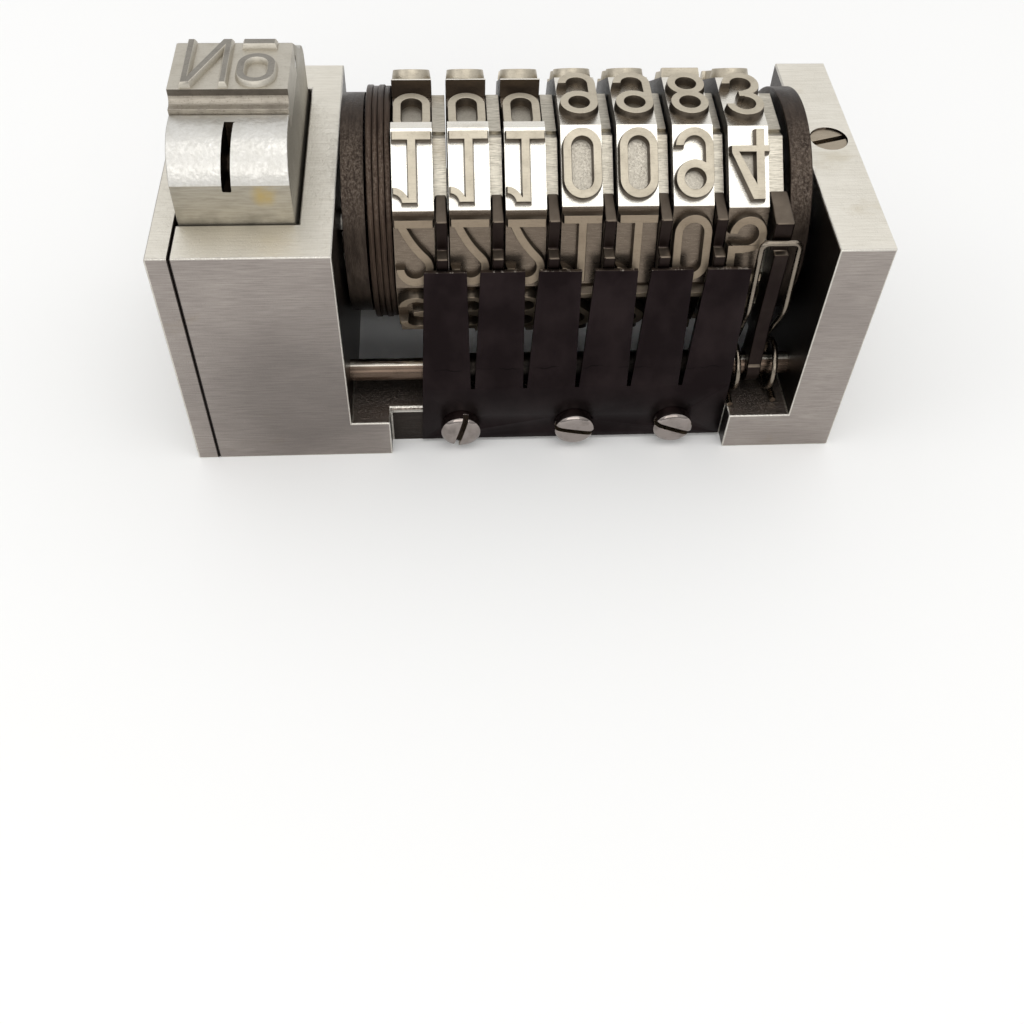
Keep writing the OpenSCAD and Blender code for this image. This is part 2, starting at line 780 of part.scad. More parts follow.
module plunger() {
    slot_x = plunger_x0 + plunger_w / 2 - 0.1;
    saw_deep = 2.6;
    saw_w = 0.72;
    saw_end = 0.4;
    saw_skew = 4;
    pin_z = axis_z + crank_r * sin(crank_up);
    color([0.78, 0.78, 0.77])
    place()
    difference() {
        union() {
            along_x(plunger_x0, plunger_w)
            polygon([
                [plunger_y0, plunger_z0],
                [plunger_y0, lobe_z],
                [lobe_y, lobe_z],
                [lobe_y, plunger_z1],
                [slug_y0, plunger_z1],
                [slug_y1, slug_top_z],
                [plunger_y1 - hump_r, hump_z + hump_r],
                [plunger_y1 - hump_r, hump_z],
                [plunger_y1, hump_z],
                [plunger_y1, plunger_z0]
            ]);
            bar_x(plunger_x0, plunger_x1, lobe_y, lobe_z, lobe_r);
            bar_x(plunger_x0, plunger_x1, plunger_y1 - hump_r, hump_z, hump_r);
        }
        // Seat of the slug, open at the top and at both ends
        translate([plunger_x0 - past, slug_y0, slug_seat_z])
        cube([plunger_w + 2 * past, slug_d, 2 * lobe_r]);
        bar_x(plunger_x1 - slug_bore_l, plunger_x1 + past, slug_y1, slug_pin_z, slug_pin_r + fixed_gap);
        // Flat front, cut a little into the rounded edge
        translate([plunger_x0 - past, plunger_y0 - past, plunger_z0])
        cube([plunger_w + 2 * past, past, plunger_z1 - plunger_z0]);
        // Saw slot across the middle of the rounded edge, a little askew
        translate([slot_x, lobe_y, lobe_z])
        rotate(-saw_skew, [0, -1, 1])
        along_x(-saw_w / 2, saw_w)
        difference() {
            translate([-lobe_r - past, saw_end]) square(lobe_r + past);
            circle(r = lobe_r - saw_deep);
        }
        // Cross slot for the crank pin
        translate([
            plunger_x1 - crank_slot_d,
            axis_y - crank_r - crank_pin_r - crank_side_gap,
            pin_z - crank_pin_r - crank_gap
        ])
        cube([
            crank_slot_d + past,
            crank_r * (1 - cos(crank_up)) + 2 * crank_pin_r + 2 * crank_side_gap,
            2 * crank_pin_r + 2 * crank_gap
        ]);
        // Blind bores for the return springs
        for (y = plunger_spring_y)
        translate([plunger_spring_x, y, plunger_z0 - past])
        cylinder(h = plunger_spring_z1 - plunger_z0 + past, r = plunger_spring_r + plunger_wire_r + 0.15);
    }
}

// The sign No, read from below as the digits are
module prefix_sign() {
    n_w = 3.7;
    n_h = 6.4;
    n_s = 0.75;
    o_w = 3.2;
    o_h = 4.3;
    o_s = 0.85;
    bar_w = 2.75;
    bar_h = 1;
    gap = 0.45;
    x0 = -(n_w + gap + o_w) / 2;
    translate([x0, -n_h / 2]) {
        square([n_s, n_h]);
        translate([n_w - n_s, 0]) square([n_s, n_h]);
        polygon([[0, n_h], [n_s * 1.2, n_h], [n_w, 0], [n_w - n_s * 1.2, 0]]);
    }
    translate([x0 + n_w + gap + o_w / 2, 0]) {
        translate([0, (n_h - o_h) / 2])
        difference() {
            stadium(o_w, o_h);
            stadium(o_w - 2 * o_s, o_h - 2 * o_s);
        }
        translate([-bar_w / 2, -n_h / 2]) square([bar_w, bar_h]);
    }
}

module prefix_slug() {
    color([0.66, 0.65, 0.63])
    place()
    union() {
        difference() {
            union() {
                translate([plunger_x0, slug_y0 + side_gap, slug_seat_z])
                cube([plunger_w, slug_d - 2 * side_gap, slug_foot_z - slug_seat_z]);
                translate([plunger_x0, slug_y0 + slug_step, slug_seat_z])
                cube([plunger_w, slug_d - slug_step - side_gap, slug_top_z - slug_seat_z]);
            }
            bar_x(plunger_x1 - slug_bore_l, plunger_x1 + past, slug_y1, slug_pin_z, slug_pin_r + fixed_gap);
        }
        translate([plunger_x0 + plunger_w / 2, slug_y0 + (slug_step + slug_d) / 2, slug_top_z - fixed_gap])
        mirror([0, 1, 0])
        linear_extrude(prefix_relief + fixed_gap)
        prefix_sign();
    }
}

module slug_pin() {
    color("gray")
    place()
    bar_x(plunger_x1 - slug_pin_sink - slug_pin_l, plunger_x1 - slug_pin_sink, slug_y1, slug_pin_z, slug_pin_r);
}

plunger_wire_r = 0.3;
plunger_spring_x = plunger_x0 + 3.3;
plunger_spring_y = [plunger_y0 + 4.4, plunger_y1 - 4.4];
plunger_spring_z1 = 21.5;
plunger_spring_turns = 8;

module plunger_spring(y) {
    z0 = pocket_floor_t + plunger_wire_r + fixed_gap;
    rise = plunger_spring_z1 - z0 - plunger_wire_r - fixed_gap;
    steps = 12 * plunger_spring_turns;
    path = [
        for (k = [0:steps])
        let (a = 30 * k)
        [
            plunger_spring_x + plunger_spring_r * cos(a),
            y + plunger_spring_r * sin(a),
            z0 + rise * k / steps
        ]
    ];
    color("silver")
    place()
    wire(path, plunger_wire_r, [1, 0, 0], 6);
}

module plunger_spring_front() {
    plunger_spring(plunger_spring_y[0]);
}

module plunger_spring_back() {
    plunger_spring(plunger_spring_y[1]);
}

// ---------------------------------------------------------------- swing and drive pawl

drive_at = round_axis(drive_a, drive_r);
drive_r0 = drive_shaft_d / 2;

// Arm of the swing: a disc on the shaft with an ear for the drive pawl's shaft
module swing_arm(x, t, r) {
    spread = 22;
    ear = 0.9 * ear_r;
    side = [-sin(drive_a), -cos(drive_a)];
    difference() {
        union() {
            bar_x(x, x + t, axis_y, axis_z, r);
            bar_x(x, x + t, drive_at[0], drive_at[1], ear_r);
            along_x(x, t)
            polygon([
                [axis_y, axis_z],
                round_axis(drive_a - spread, 0.95 * r),
                drive_at + ear * side,
                drive_at - ear * side,
                round_axis(drive_a + spread, 0.95 * r)
            ]);
        }
        bar_x(x - past, x + t + past, axis_y, axis_z, shaft_r + turn_gap);
        bar_x(x - past, x + t + past, drive_at[0], drive_at[1], drive_r0 + fixed_gap);
    }
}

module swing_left_arm() {
    pin = round_axis(crank_up, crank_r);
    color([0.19, 0.15, 0.14])
    place()
    difference() {
        swing_arm(collar_x0, collar_t, collar_r);
        bar_x(collar_x0 - past, collar_x1 + past, pin[0], pin[1], crank_pin_r + fixed_gap);
    }
}

module swing_right_arm() {
    color([0.16, 0.14, 0.14])
    place()
    swing_arm(disc_x0, disc_t, disc_r);
}

module crank_pin() {
    at = round_axis(crank_up, crank_r);
    color("gray")
    place()
    bar_x(plunger_x1 - crank_slot_d + crank_end_gap, collar_x1, at[0], at[1], crank_pin_r);
}

module drive_pawl_shaft() {
    color("silver")
    place()
    bar_x(collar_x0, disc_x1, drive_at[0], drive_at[1], drive_r0);
}

// One-piece pawl: a tube on its shaft and a hooked finger in line with each ratchet
module drive_pawl() {
    finger_gap = 0.06;
    color([0.2, 0.17, 0.16])
    place()
    difference() {
        union() {
            bar_x(wheels_x0 + side_gap, disc_x0 - wheel_gap, drive_at[0], drive_at[1], drive_hub_r);
            for (i = [1:WHEELS])
            along_x(ratchet_x(i) + finger_gap, ratchet_width(i) - 2 * finger_gap)
            polygon([
                round_axis(drive_a, drive_r - 0.8 * drive_hub_r),
                round_axis(drive_tip_a, ratchet_r - drive_reach),
                round_axis(drive_tip_a - 0.6, ratchet_r + near_gap + drive_tip_h),
                round_axis(drive_a - 16, drive_r - 0.7 * drive_hub_r),
                round_axis(drive_a - 3, drive_r + 0.8 * drive_hub_r)
            ]);
        }
        bar_x(wheels_x0 - past, disc_x0 + past, axis_y, axis_z, ratchet_r + near_gap);
        bar_x(wheels_x0 - past, disc_x0 + past, drive_at[0], drive_at[1], drive_r0 + turn_gap);
    }
}

module drive_pawl_spring() {
    wire_r = 0.15;
    coil_r = drive_r0 + turn_gap + wire_r + 0.16;
    x0 = collar_x1 + wire_r + side_gap;
    x1 = wheels_x0 - wire_r;
    turns = 5;
    path = [
        for (k = [0:12 * turns])
        let (a = 30 * k)
        [x0 + (x1 - x0) * k / (12 * turns), drive_at[0] + coil_r * cos(a), drive_at[1] + coil_r * sin(a)]
    ];
    color("silver")
    place()
    wire(path, wire_r, [0, 0, 1], 6);
}

// ---------------------------------------------------------------- number wheels

// Leans what belongs to wheel i to the front by its play
module lean(i) {
    translate([0, axis_y, axis_z])
    rotate([WHEEL_PLAY[i - 1], 0, 0])
    translate([0, -axis_y, -axis_z])
    children();
}

// Slot for a sliding zero at the top of a wheel
zero_front = 2.55;
zero_back = 3.2;
zero_floor = 6.4;
zero_lift = 0.5;
zero_h = zero_front + zero_back - 2 * side_gap - 0.35;

module number_wheel(i) {
    drops = i <= ZEROS;
    x = wheel_x(i);
    color([0.8, 0.8, 0.79])
    place()
    lean(i)
    difference() {
        union() {
            along_x(x, face_w)
            polygon([for (k = [0:SIDES - 1]) round_axis(STEP * k, face_apothem / cos(STEP / 2))]);
            for (k = [(drops ? 1 : 0):SIDES - 1])
            translate([0, axis_y, axis_z])
            rotate([STEP * k, 0, 0])
            translate([0, -axis_y, -axis_z])
            raised_digit((TOP_DIGIT[i - 1] + k) % SIDES, x + face_w / 2, axis_z + face_apothem - fixed_gap);
        }
        bar_x(x - past, x + face_w + past, axis_y, axis_z, shaft_r + turn_gap);
        if (drops)
        translate([x - past, axis_y - zero_front, axis_z + zero_floor])
        cube([face_w + 2 * past, zero_front + zero_back, face_apothem]);
    }
}

// Zero that stands below the printing row until the wheel is in use
module drop_zero(i) {
    x = wheel_x(i);
    top = axis_z + face_apothem - zero_drop;
    foot = axis_z + zero_floor + zero_lift;
    d = zero_front + zero_back - 2 * side_gap;
    color([0.7, 0.7, 0.68])
    place()
    lean(i)
    union() {
        translate([x + side_gap, axis_y - zero_front + side_gap, foot])
        cube([face_w - 2 * side_gap, d, top - foot]);
        // A shorter zero than on the other flats, level with the front of its slide
        translate([x + face_w / 2, axis_y - zero_front + side_gap + zero_h / 2, top - fixed_gap])
        linear_extrude(digit_relief)
        digit_0(zero_h);
    }
}

// Ratchet beside a wheel: the same ten flats, each ending in a notch
module ratchet(i) {
    corner = STEP;
    notch = 5;
    flat = ratchet_r * cos(STEP / 2);
    step_r = flat / cos(STEP / 2 - notch);
    x = ratchet_x(i);
    color([0.72, 0.72, 0.7])
    place()
    lean(i)
    difference() {
        along_x(x, ratchet_width(i))
        polygon([
            for (k = [0:SIDES - 1])
            for (p = [[corner, ratchet_r], [corner + notch, step_r - notch_depth], [corner + notch, step_r]])
            round_axis(STEP * k + p[0], p[1])
        ]);
        bar_x(x - past, x + units_ratchet_w + past, axis_y, axis_z, shaft_r + turn_gap);
    }
}

// ---------------------------------------------------------------- retaining pawls

// Pawl from the rod up to its hooked tip; head_y is the front of the recessed head
module pawl_body(x, w, head_y) {
    neck_y = 1.3;
    nub_z = 12;
    heel = [0.35, 0.5];
    difference() {
        union() {
            bar_x(x, x + w, rod_y, rod_z, pawl_hub_r);
            along_x(x, w)
            polygon([
                [rod_y, rod_z],
                [rod_y - neck_y, rod_z + heel[1]],
                [pawl_face_y, nub_z],
                [pawl_face_y, pawl_ledge_z],
                [head_y, pawl_ledge_z],
                [head_y, pawl_tip_z - pawl_head_slope],
                [axis_y - pawl_tip_set, pawl_tip_z],
                [axis_y - pawl_tip_set, axis_z],
                [axis_y - ratchet_r - heel[0], axis_z - 2 * pawl_w],
                [rod_y + neck_y, rod_z + heel[1]]
            ]);
        }
        bar_x(x - past, x + w + past, axis_y, axis_z, ratchet_r + near_gap);
        bar_x(x - past, x + w + past, rod_y, rod_z, rod_r + turn_gap);
    }
}

module retaining_pawl(i) {
    x = pawl_x(i);
    units = i == WHEELS;
    wider = units_pawl_w - units_bar_w;
    color([0.17, 0.15, 0.15])
    place()
    difference() {
        pawl_body(x, pawl_width(i), units ? units_head_y : pawl_head_y);
        // The units pawl is wide at its head only
        if (units)
        translate([x - past, 0, 0]) cube([wider + past, axis_y, pawl_ledge_z]);
    }
}

frame();
side_plate();
side_plate_screws();
main_shaft();
shaft_lock_screw();
pawl_rod();
pawl_spacers();
comb_spring();
comb_screws();
units_pawl_spring();
for (i = [1:SPACERS]) spacer_disc(i);
plunger();
prefix_slug();
slug_pin();
plunger_spring_front();
plunger_spring_back();
swing_left_arm();
swing_right_arm();
crank_pin();
drive_pawl_shaft();
drive_pawl();
drive_pawl_spring();
for (i = [1:WHEELS]) number_wheel(i);
for (i = [1:WHEELS]) ratchet(i);
for (i = [1:ZEROS]) drop_zero(i);
for (i = [1:WHEELS]) retaining_pawl(i);
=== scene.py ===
"""Looks of a letterpress numbering machine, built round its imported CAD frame."""

import json
import logging
import math
from contextlib import contextmanager
from dataclasses import dataclass, field
from enum import Enum
from functools import cache
from typing import Any, Callable, Iterable, Iterator, Sequence

import bmesh
import bpy
from mathutils import Vector
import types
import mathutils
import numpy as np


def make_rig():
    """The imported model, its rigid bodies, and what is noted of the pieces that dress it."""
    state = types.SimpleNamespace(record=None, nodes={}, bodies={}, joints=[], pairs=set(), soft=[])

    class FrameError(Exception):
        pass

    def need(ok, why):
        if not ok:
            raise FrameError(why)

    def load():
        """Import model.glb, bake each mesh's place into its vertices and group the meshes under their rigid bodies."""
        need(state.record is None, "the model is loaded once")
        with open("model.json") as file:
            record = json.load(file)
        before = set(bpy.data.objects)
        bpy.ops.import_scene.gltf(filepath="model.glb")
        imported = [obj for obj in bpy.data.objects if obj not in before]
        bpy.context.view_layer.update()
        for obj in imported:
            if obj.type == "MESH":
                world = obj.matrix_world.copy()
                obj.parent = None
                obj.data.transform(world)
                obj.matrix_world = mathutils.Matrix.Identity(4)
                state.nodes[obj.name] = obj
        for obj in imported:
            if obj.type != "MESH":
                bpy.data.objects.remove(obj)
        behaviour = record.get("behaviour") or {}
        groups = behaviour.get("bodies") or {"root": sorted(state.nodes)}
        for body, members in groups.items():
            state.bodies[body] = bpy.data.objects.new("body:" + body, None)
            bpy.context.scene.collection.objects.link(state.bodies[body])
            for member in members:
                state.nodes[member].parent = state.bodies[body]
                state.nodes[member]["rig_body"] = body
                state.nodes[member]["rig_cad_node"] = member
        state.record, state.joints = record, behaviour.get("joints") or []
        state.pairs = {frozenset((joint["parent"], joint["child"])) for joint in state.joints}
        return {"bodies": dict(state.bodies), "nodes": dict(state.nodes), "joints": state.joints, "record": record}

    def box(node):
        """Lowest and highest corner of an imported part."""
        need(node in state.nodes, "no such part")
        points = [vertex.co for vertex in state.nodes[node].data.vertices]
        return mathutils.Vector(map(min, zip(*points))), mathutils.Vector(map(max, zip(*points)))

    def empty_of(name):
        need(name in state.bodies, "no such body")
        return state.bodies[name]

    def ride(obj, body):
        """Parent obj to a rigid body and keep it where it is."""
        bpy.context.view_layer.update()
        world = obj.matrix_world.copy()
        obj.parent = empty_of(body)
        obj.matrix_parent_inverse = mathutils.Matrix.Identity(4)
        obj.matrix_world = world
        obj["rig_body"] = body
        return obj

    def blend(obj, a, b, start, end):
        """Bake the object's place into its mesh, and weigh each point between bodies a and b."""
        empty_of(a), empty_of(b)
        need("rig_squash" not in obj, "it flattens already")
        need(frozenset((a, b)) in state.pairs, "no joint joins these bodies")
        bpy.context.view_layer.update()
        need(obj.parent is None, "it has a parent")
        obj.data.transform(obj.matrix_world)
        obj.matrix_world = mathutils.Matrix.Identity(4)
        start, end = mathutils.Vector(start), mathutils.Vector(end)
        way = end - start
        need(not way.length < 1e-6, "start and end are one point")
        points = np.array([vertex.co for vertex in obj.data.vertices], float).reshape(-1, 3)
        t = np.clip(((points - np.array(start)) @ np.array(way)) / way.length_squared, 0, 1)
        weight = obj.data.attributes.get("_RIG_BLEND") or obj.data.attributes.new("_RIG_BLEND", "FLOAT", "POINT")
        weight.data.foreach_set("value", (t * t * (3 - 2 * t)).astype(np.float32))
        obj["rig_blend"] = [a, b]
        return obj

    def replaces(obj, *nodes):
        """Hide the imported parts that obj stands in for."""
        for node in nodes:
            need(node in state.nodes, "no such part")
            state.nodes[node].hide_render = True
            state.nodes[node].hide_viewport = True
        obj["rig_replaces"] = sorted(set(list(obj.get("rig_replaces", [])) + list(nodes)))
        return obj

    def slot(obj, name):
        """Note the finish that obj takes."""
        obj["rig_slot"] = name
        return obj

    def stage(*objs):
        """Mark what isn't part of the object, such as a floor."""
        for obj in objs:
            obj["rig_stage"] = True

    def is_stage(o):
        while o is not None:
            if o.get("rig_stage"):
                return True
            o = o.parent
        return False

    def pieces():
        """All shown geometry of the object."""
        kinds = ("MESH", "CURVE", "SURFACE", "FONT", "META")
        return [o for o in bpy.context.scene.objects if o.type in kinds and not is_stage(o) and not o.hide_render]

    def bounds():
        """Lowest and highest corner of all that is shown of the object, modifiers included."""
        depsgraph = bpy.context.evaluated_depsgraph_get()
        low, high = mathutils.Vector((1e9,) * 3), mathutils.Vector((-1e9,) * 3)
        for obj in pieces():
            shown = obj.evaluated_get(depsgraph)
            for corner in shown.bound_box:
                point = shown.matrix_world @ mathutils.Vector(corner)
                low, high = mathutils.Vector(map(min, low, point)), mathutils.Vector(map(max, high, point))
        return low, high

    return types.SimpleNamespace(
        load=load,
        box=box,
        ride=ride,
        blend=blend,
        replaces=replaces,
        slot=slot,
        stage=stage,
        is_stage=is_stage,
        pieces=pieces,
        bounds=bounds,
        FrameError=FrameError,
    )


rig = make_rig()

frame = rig.load()
CAD_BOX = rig.bounds()

log = logging.getLogger("numbering_machine")

MM = 0.001
WHEELS = 7
ZEROS = 3
SIDES = 10
SPACERS = 4
TINES = 6
STEP = math.radians(360 / SIDES)

# Cosines to a direction above which a face looks along it, loosely and exactly.
LEVEL = 0.9
SQUARE = 0.99

# Distances in metres below which two places count as one, from coarse to fine.
NEAR = 0.1 * MM
CLOSE = 0.02 * MM
SAME = 0.01 * MM

Point = tuple[float, float, float]
Range = tuple[float, float]
Obj = bpy.types.Object
Face = bpy.types.MeshPolygon
Material = bpy.types.Material
Socket = bpy.types.NodeSocket
Share = Callable[[Vector, Vector], float]


# Finishes


class Grain(Enum):
    """Which way the tool marks run, as noise scales along X, Y and Z per mm."""

    ALONG_X = (0.35, 8.0, 8.0)
    ALONG_Y = (8.0, 0.35, 8.0)
    ACROSS_WHEEL = (1.2, 10.0, 10.0)
    CRYSTAL = (7.0, 7.0, 7.0)
    HATCHED = (1.0, 16.0, 16.0)


@dataclass(frozen=True)
class Layer:
    """One noise: cycles per mm along X, Y and Z, its start, its octaves and their weight."""

    scale: Point
    start: float = 0.0
    detail: float = 4.0
    rough: float = 0.55


def darker(colour: Point, share: float) -> Point:
    """Scales a colour down."""
    return tuple(share * c for c in colour)


class Shader:
    """One node material on Object coordinates, measured in millimetres."""

    def __init__(self, name: str, metallic: float = 1.0) -> None:
        """Starts an empty material.

        Args:
            name: the material's name.
            metallic: the same all over, set on the shader itself.
        """
        self.material = bpy.data.materials.new(name)
        self.material.use_nodes = True
        self.tree = self.material.node_tree
        self.surface = self.tree.nodes["Principled BSDF"]
        self.surface.inputs["Metallic"].default_value = metallic
        self.place: Socket = self.add("TexCoord").outputs["Object"]

    def add(self, kind: str, **values: Any) -> bpy.types.Node:
        """Adds a node.

        Args:
            kind: the node's type.
            values: values of its inputs, with _ for a space in an input's name.

        Returns:
            The node.
        """
        node = self.tree.nodes.new(f"ShaderNode{kind}")
        for name, value in values.items():
            node.inputs[name.replace("_", " ")].default_value = value
        return node

    def link(self, source: Socket, target: Socket) -> None:
        """Joins two sockets."""
        self.tree.links.new(source, target)

    def noise(self, layer: Layer) -> Socket:
        """Adds a noise.

        Args:
            layer: its scales, start, octaves and their weight.

        Returns:
            The noise's value socket.
        """
        scale = [cycles / MM for cycles in layer.scale]
        start = [layer.start, layer.start * 0.7, -layer.start]
        mapping = self.add("Mapping", Scale=scale, Location=start)
        self.link(self.place, mapping.inputs["Vector"])
        texture = self.add("TexNoise", Scale=1.0, Detail=layer.detail, Roughness=layer.rough)
        self.link(mapping.outputs["Vector"], texture.inputs["Vector"])
        return texture.outputs["Fac"]

    def height(self) -> Socket:
        """Reads how high a place lies.

        Returns:
            The socket of the height over the floor, in metres.
        """
        apart = self.add("SeparateXYZ")
        self.link(self.place, apart.inputs["Vector"])
        return apart.outputs["Z"]

    def spread(self, value: Socket, ramp: Range, to: Range = (0.0, 1.0)) -> Socket:
        """Maps a range of a value onto another range, clamped at its ends.

        Args:
            value: what is mapped.
            ramp: the values that become the ends of the other range.
            to: the other range.

        Returns:
            The mapped value's socket.
        """
        node = self.add("MapRange", From_Min=ramp[0], From_Max=ramp[1], To_Min=to[0], To_Max=to[1])
        self.link(value, node.inputs["Value"])
        return node.outputs["Result"]

    def reckon(self, operation: str, first: Socket, second: Socket) -> Socket:
        """Reckons with two values.

        Args:
            operation: ADD or MULTIPLY.
            first: the one value.
            second: the other value.

        Returns:
            The result's socket.
        """
        node = self.add("Math")
        node.operation = operation
        self.link(first, node.inputs[0])
        self.link(second, node.inputs[1])
        return node.outputs["Value"]

    def times(self, first: Socket, second: Socket) -> Socket:
        """Multiplies two values."""
        return self.reckon("MULTIPLY", first, second)

    def spot(self, centre: Point, radius: float, ragged: Socket | None = None) -> Socket:
        """Marks a patch round one place.

        Args:
            centre: the place, in mm.
            radius: where the patch has faded out, in mm.
            ragged: a noise that frays the patch.

        Returns:
            A value that is 1 in the middle and 0 outside.
        """
        apart = self.add("VectorMath")
        apart.operation = "DISTANCE"
        apart.inputs[1].default_value = [c * MM for c in centre]
        self.link(self.place, apart.inputs[0])
        near = self.spread(apart.outputs["Value"], (radius * MM, 0.4 * radius * MM))
        return near if ragged is None else self.times(near, self.spread(ragged, (0.3, 0.6)))

    def facing(self, direction: Point, ramp: Range) -> Socket:
        """Marks where the surface looks one way.

        Args:
            direction: unit vector in the object's frame.
            ramp: cosines of the angle to it at which the mark begins and is full.

        Returns:
            The mark's value socket.
        """
        dot = self.add("VectorMath")
        dot.operation = "DOT_PRODUCT"
        dot.inputs[1].default_value = direction
        self.link(self.add("NewGeometry").outputs["Normal"], dot.inputs[0])
        return self.spread(dot.outputs["Value"], ramp)

    def blend(self, amount: Socket, low: Point | Socket, high: Point) -> Socket:
        """Mixes two colours.

        Args:
            amount: 0 gives low, 1 gives high.
            low: a colour or a colour socket.
            high: a colour.

        Returns:
            The mixed colour's socket.
        """
        node = self.add("Mix")
        node.data_type = "RGBA"
        self.link(amount, node.inputs["Factor"])
        node.inputs["B"].default_value = (*high, 1.0)
        if isinstance(low, Socket):
            self.link(low, node.inputs["A"])
        else:
            node.inputs["A"].default_value = (*low, 1.0)
        return node.outputs["Result"]

    def over(self, below: Point | Socket, above: Point, mark: Socket, ramp: Range,
             most: float = 1.0) -> Socket:
        """Lays one colour over another where a value rises.

        Args:
            below: the lower colour or its socket.
            above: the upper colour.
            mark: the value.
            ramp: values of the mark at which the upper colour begins and is full.
            most: the upper colour's share where it is full.

        Returns:
            The colour's socket.
        """
        return self.blend(self.spread(mark, ramp, (0.0, most)), below, above)

    def relief(self, *bumps: tuple[Socket, float]) -> None:
        """Adds bumps one on another.

        Args:
            bumps: a height socket and its depth in mm for each bump.
        """
        target = None
        for height, depth in bumps:
            bump = self.add("Bump", Distance=depth * MM, Strength=1.0)
            self.link(height, bump.inputs["Height"])
            if target is not None:
                self.link(target, bump.inputs["Normal"])
            target = bump.outputs["Normal"]
        self.link(target, self.surface.inputs["Normal"])

    def finish(self, colour: Socket, rough: Socket) -> Material:
        """Joins colour and roughness to the surface.

        Args:
            colour: the colour's socket.
            rough: the roughness's socket.

        Returns:
            The material.
        """
        self.link(colour, self.surface.inputs["Base Color"])
        self.link(rough, self.surface.inputs["Roughness"])
        return self.material


@dataclass(frozen=True)
class GroundSteel:
    """Bare steel with fine tool marks, pits, calm cloudy patches and faint brown stains."""

    name: str
    colour: Point
    dull: Point
    stain: Point = (0.52, 0.44, 0.28)
    grain: Grain = Grain.ALONG_X
    rough: Range = (0.34, 0.48)
    groove: float = 0.012
    pit: float = 0.012
    stain_from: float = 0.62
    stain_ramp: float = 0.16
    marks: float = 0.6
    long_marks: float = 0.4
    dark_patch_at: Point | None = None
    dark_patch_radius: float = 12.0
    dark_patch: float = 0.55
    cloud: Layer = Layer((0.1, 0.16, 0.16), 3.0)
    speck: Layer = Layer((5.0, 5.0, 5.0), 9.0, rough=0.7)
    blot: Layer = Layer((0.12, 0.2, 0.2), 21.0, 6.0, 0.6)

    def make(self) -> Material:
        """Wires the material.

        Returns:
            The material.
        """
        s = Shader(self.name)
        lines = s.noise(Layer(self.grain.value, detail=5.0, rough=0.7))
        stretched = tuple(self.long_marks * cycles for cycles in self.grain.value)
        long_lines = s.noise(Layer(stretched, 27.0, rough=0.6))
        cloud, speck, blot = (s.noise(layer) for layer in (self.cloud, self.speck, self.blot))
        base = s.over(self.colour, self.dull, cloud, (0.38, 0.7), 0.5)
        base = s.over(base, self.dull, lines, (0.42, 0.62), self.marks)
        base = s.over(base, self.dull, long_lines, (0.5, 0.7), 0.5 * self.marks)
        base = s.over(base, self.dull, speck, (0.6, 0.72), 0.5 * self.marks)
        stained = (self.stain_from, self.stain_from + self.stain_ramp)
        base = s.over(base, self.stain, blot, stained, 0.5)
        # A darker patch round one place, fading outwards.
        if self.dark_patch_at is not None:
            patch = s.spot(self.dark_patch_at, self.dark_patch_radius)
            base = s.over(base, darker(self.dull, 0.5), patch, (0.0, 1.0), self.dark_patch)
        s.relief((s.spread(speck, (0.3, 0.5)), self.pit), (lines, self.groove))
        return s.finish(base, s.spread(lines, (0.3, 0.7), self.rough))


@dataclass(frozen=True)
class BlastedAlloy:
    """Bright blasted casting: a fine grain all over and duller patches."""

    name: str
    colour: Point = (0.72, 0.705, 0.67)
    dull: Point = (0.56, 0.545, 0.5)
    rough: Range = (0.34, 0.5)
    grain_depth: float = 0.035
    dent_depth: float = 0.049
    grain: Layer = Layer((3.6, 3.6, 3.6), rough=0.6)
    dent: Layer = Layer((1.5, 1.5, 1.5), 5.0, 2.0)
    patch: Layer = Layer((0.25, 0.25, 0.25), 11.0, 5.0)

    def make(self) -> Material:
        """Wires the material.

        Returns:
            The material.
        """
        s = Shader(self.name)
        grain, dents, patch = (s.noise(layer) for layer in (self.grain, self.dent, self.patch))
        base = s.over(self.colour, self.dull, patch, (0.45, 0.7))
        base = s.over(base, self.dull, grain, (0.4, 0.65), 0.4)
        s.relief((dents, self.dent_depth), (grain, self.grain_depth))
        return s.finish(base, s.spread(grain, (0.35, 0.65), self.rough))


@dataclass(frozen=True)
class RubbedAlloy:
    """The plunger's flat sides: smooth, greyer than the blasted alloy as painted shade, darker towards the foot, with
    one yellow-brown stain.
    """

    name: str
    colour: Point = (0.41, 0.38, 0.32)
    dull: Point = (0.28, 0.255, 0.205)
    stain: Point = (0.46, 0.36, 0.17)
    rough: Range = (0.42, 0.56)
    metallic: float = 0.9
    stain_at: Point = (-20.2, -9.4, 26.0)
    stain_radius: float = 1.3
    foot: float = 23.3
    dark_foot_height: float = 1.3
    lines: Layer = Layer((0.5, 6.0, 5.0), rough=0.65)
    cloud: Layer = Layer((0.5, 0.5, 0.5), 8.0, 5.0)

    def make(self) -> Material:
        """Wires the material.

        Returns:
            The material.
        """
        s = Shader(self.name, self.metallic)
        lines, cloud = s.noise(self.lines), s.noise(self.cloud)
        # Darker towards the foot.
        low = s.spread(s.height(), ((self.foot + self.dark_foot_height) * MM, self.foot * MM))
        darker_foot = s.times(low, s.spread(cloud, (0.3, 0.6)))
        base = s.over(self.colour, self.dull, lines, (0.4, 0.68), 0.7)
        base = s.blend(s.spot(self.stain_at, self.stain_radius, cloud), base, self.stain)
        base = s.over(base, darker(self.dull, 0.45), darker_foot, (0.0, 1.0), 0.6)
        s.relief((cloud, 0.04), (lines, 0.012))
        return s.finish(base, s.spread(cloud, (0.3, 0.7), self.rough))


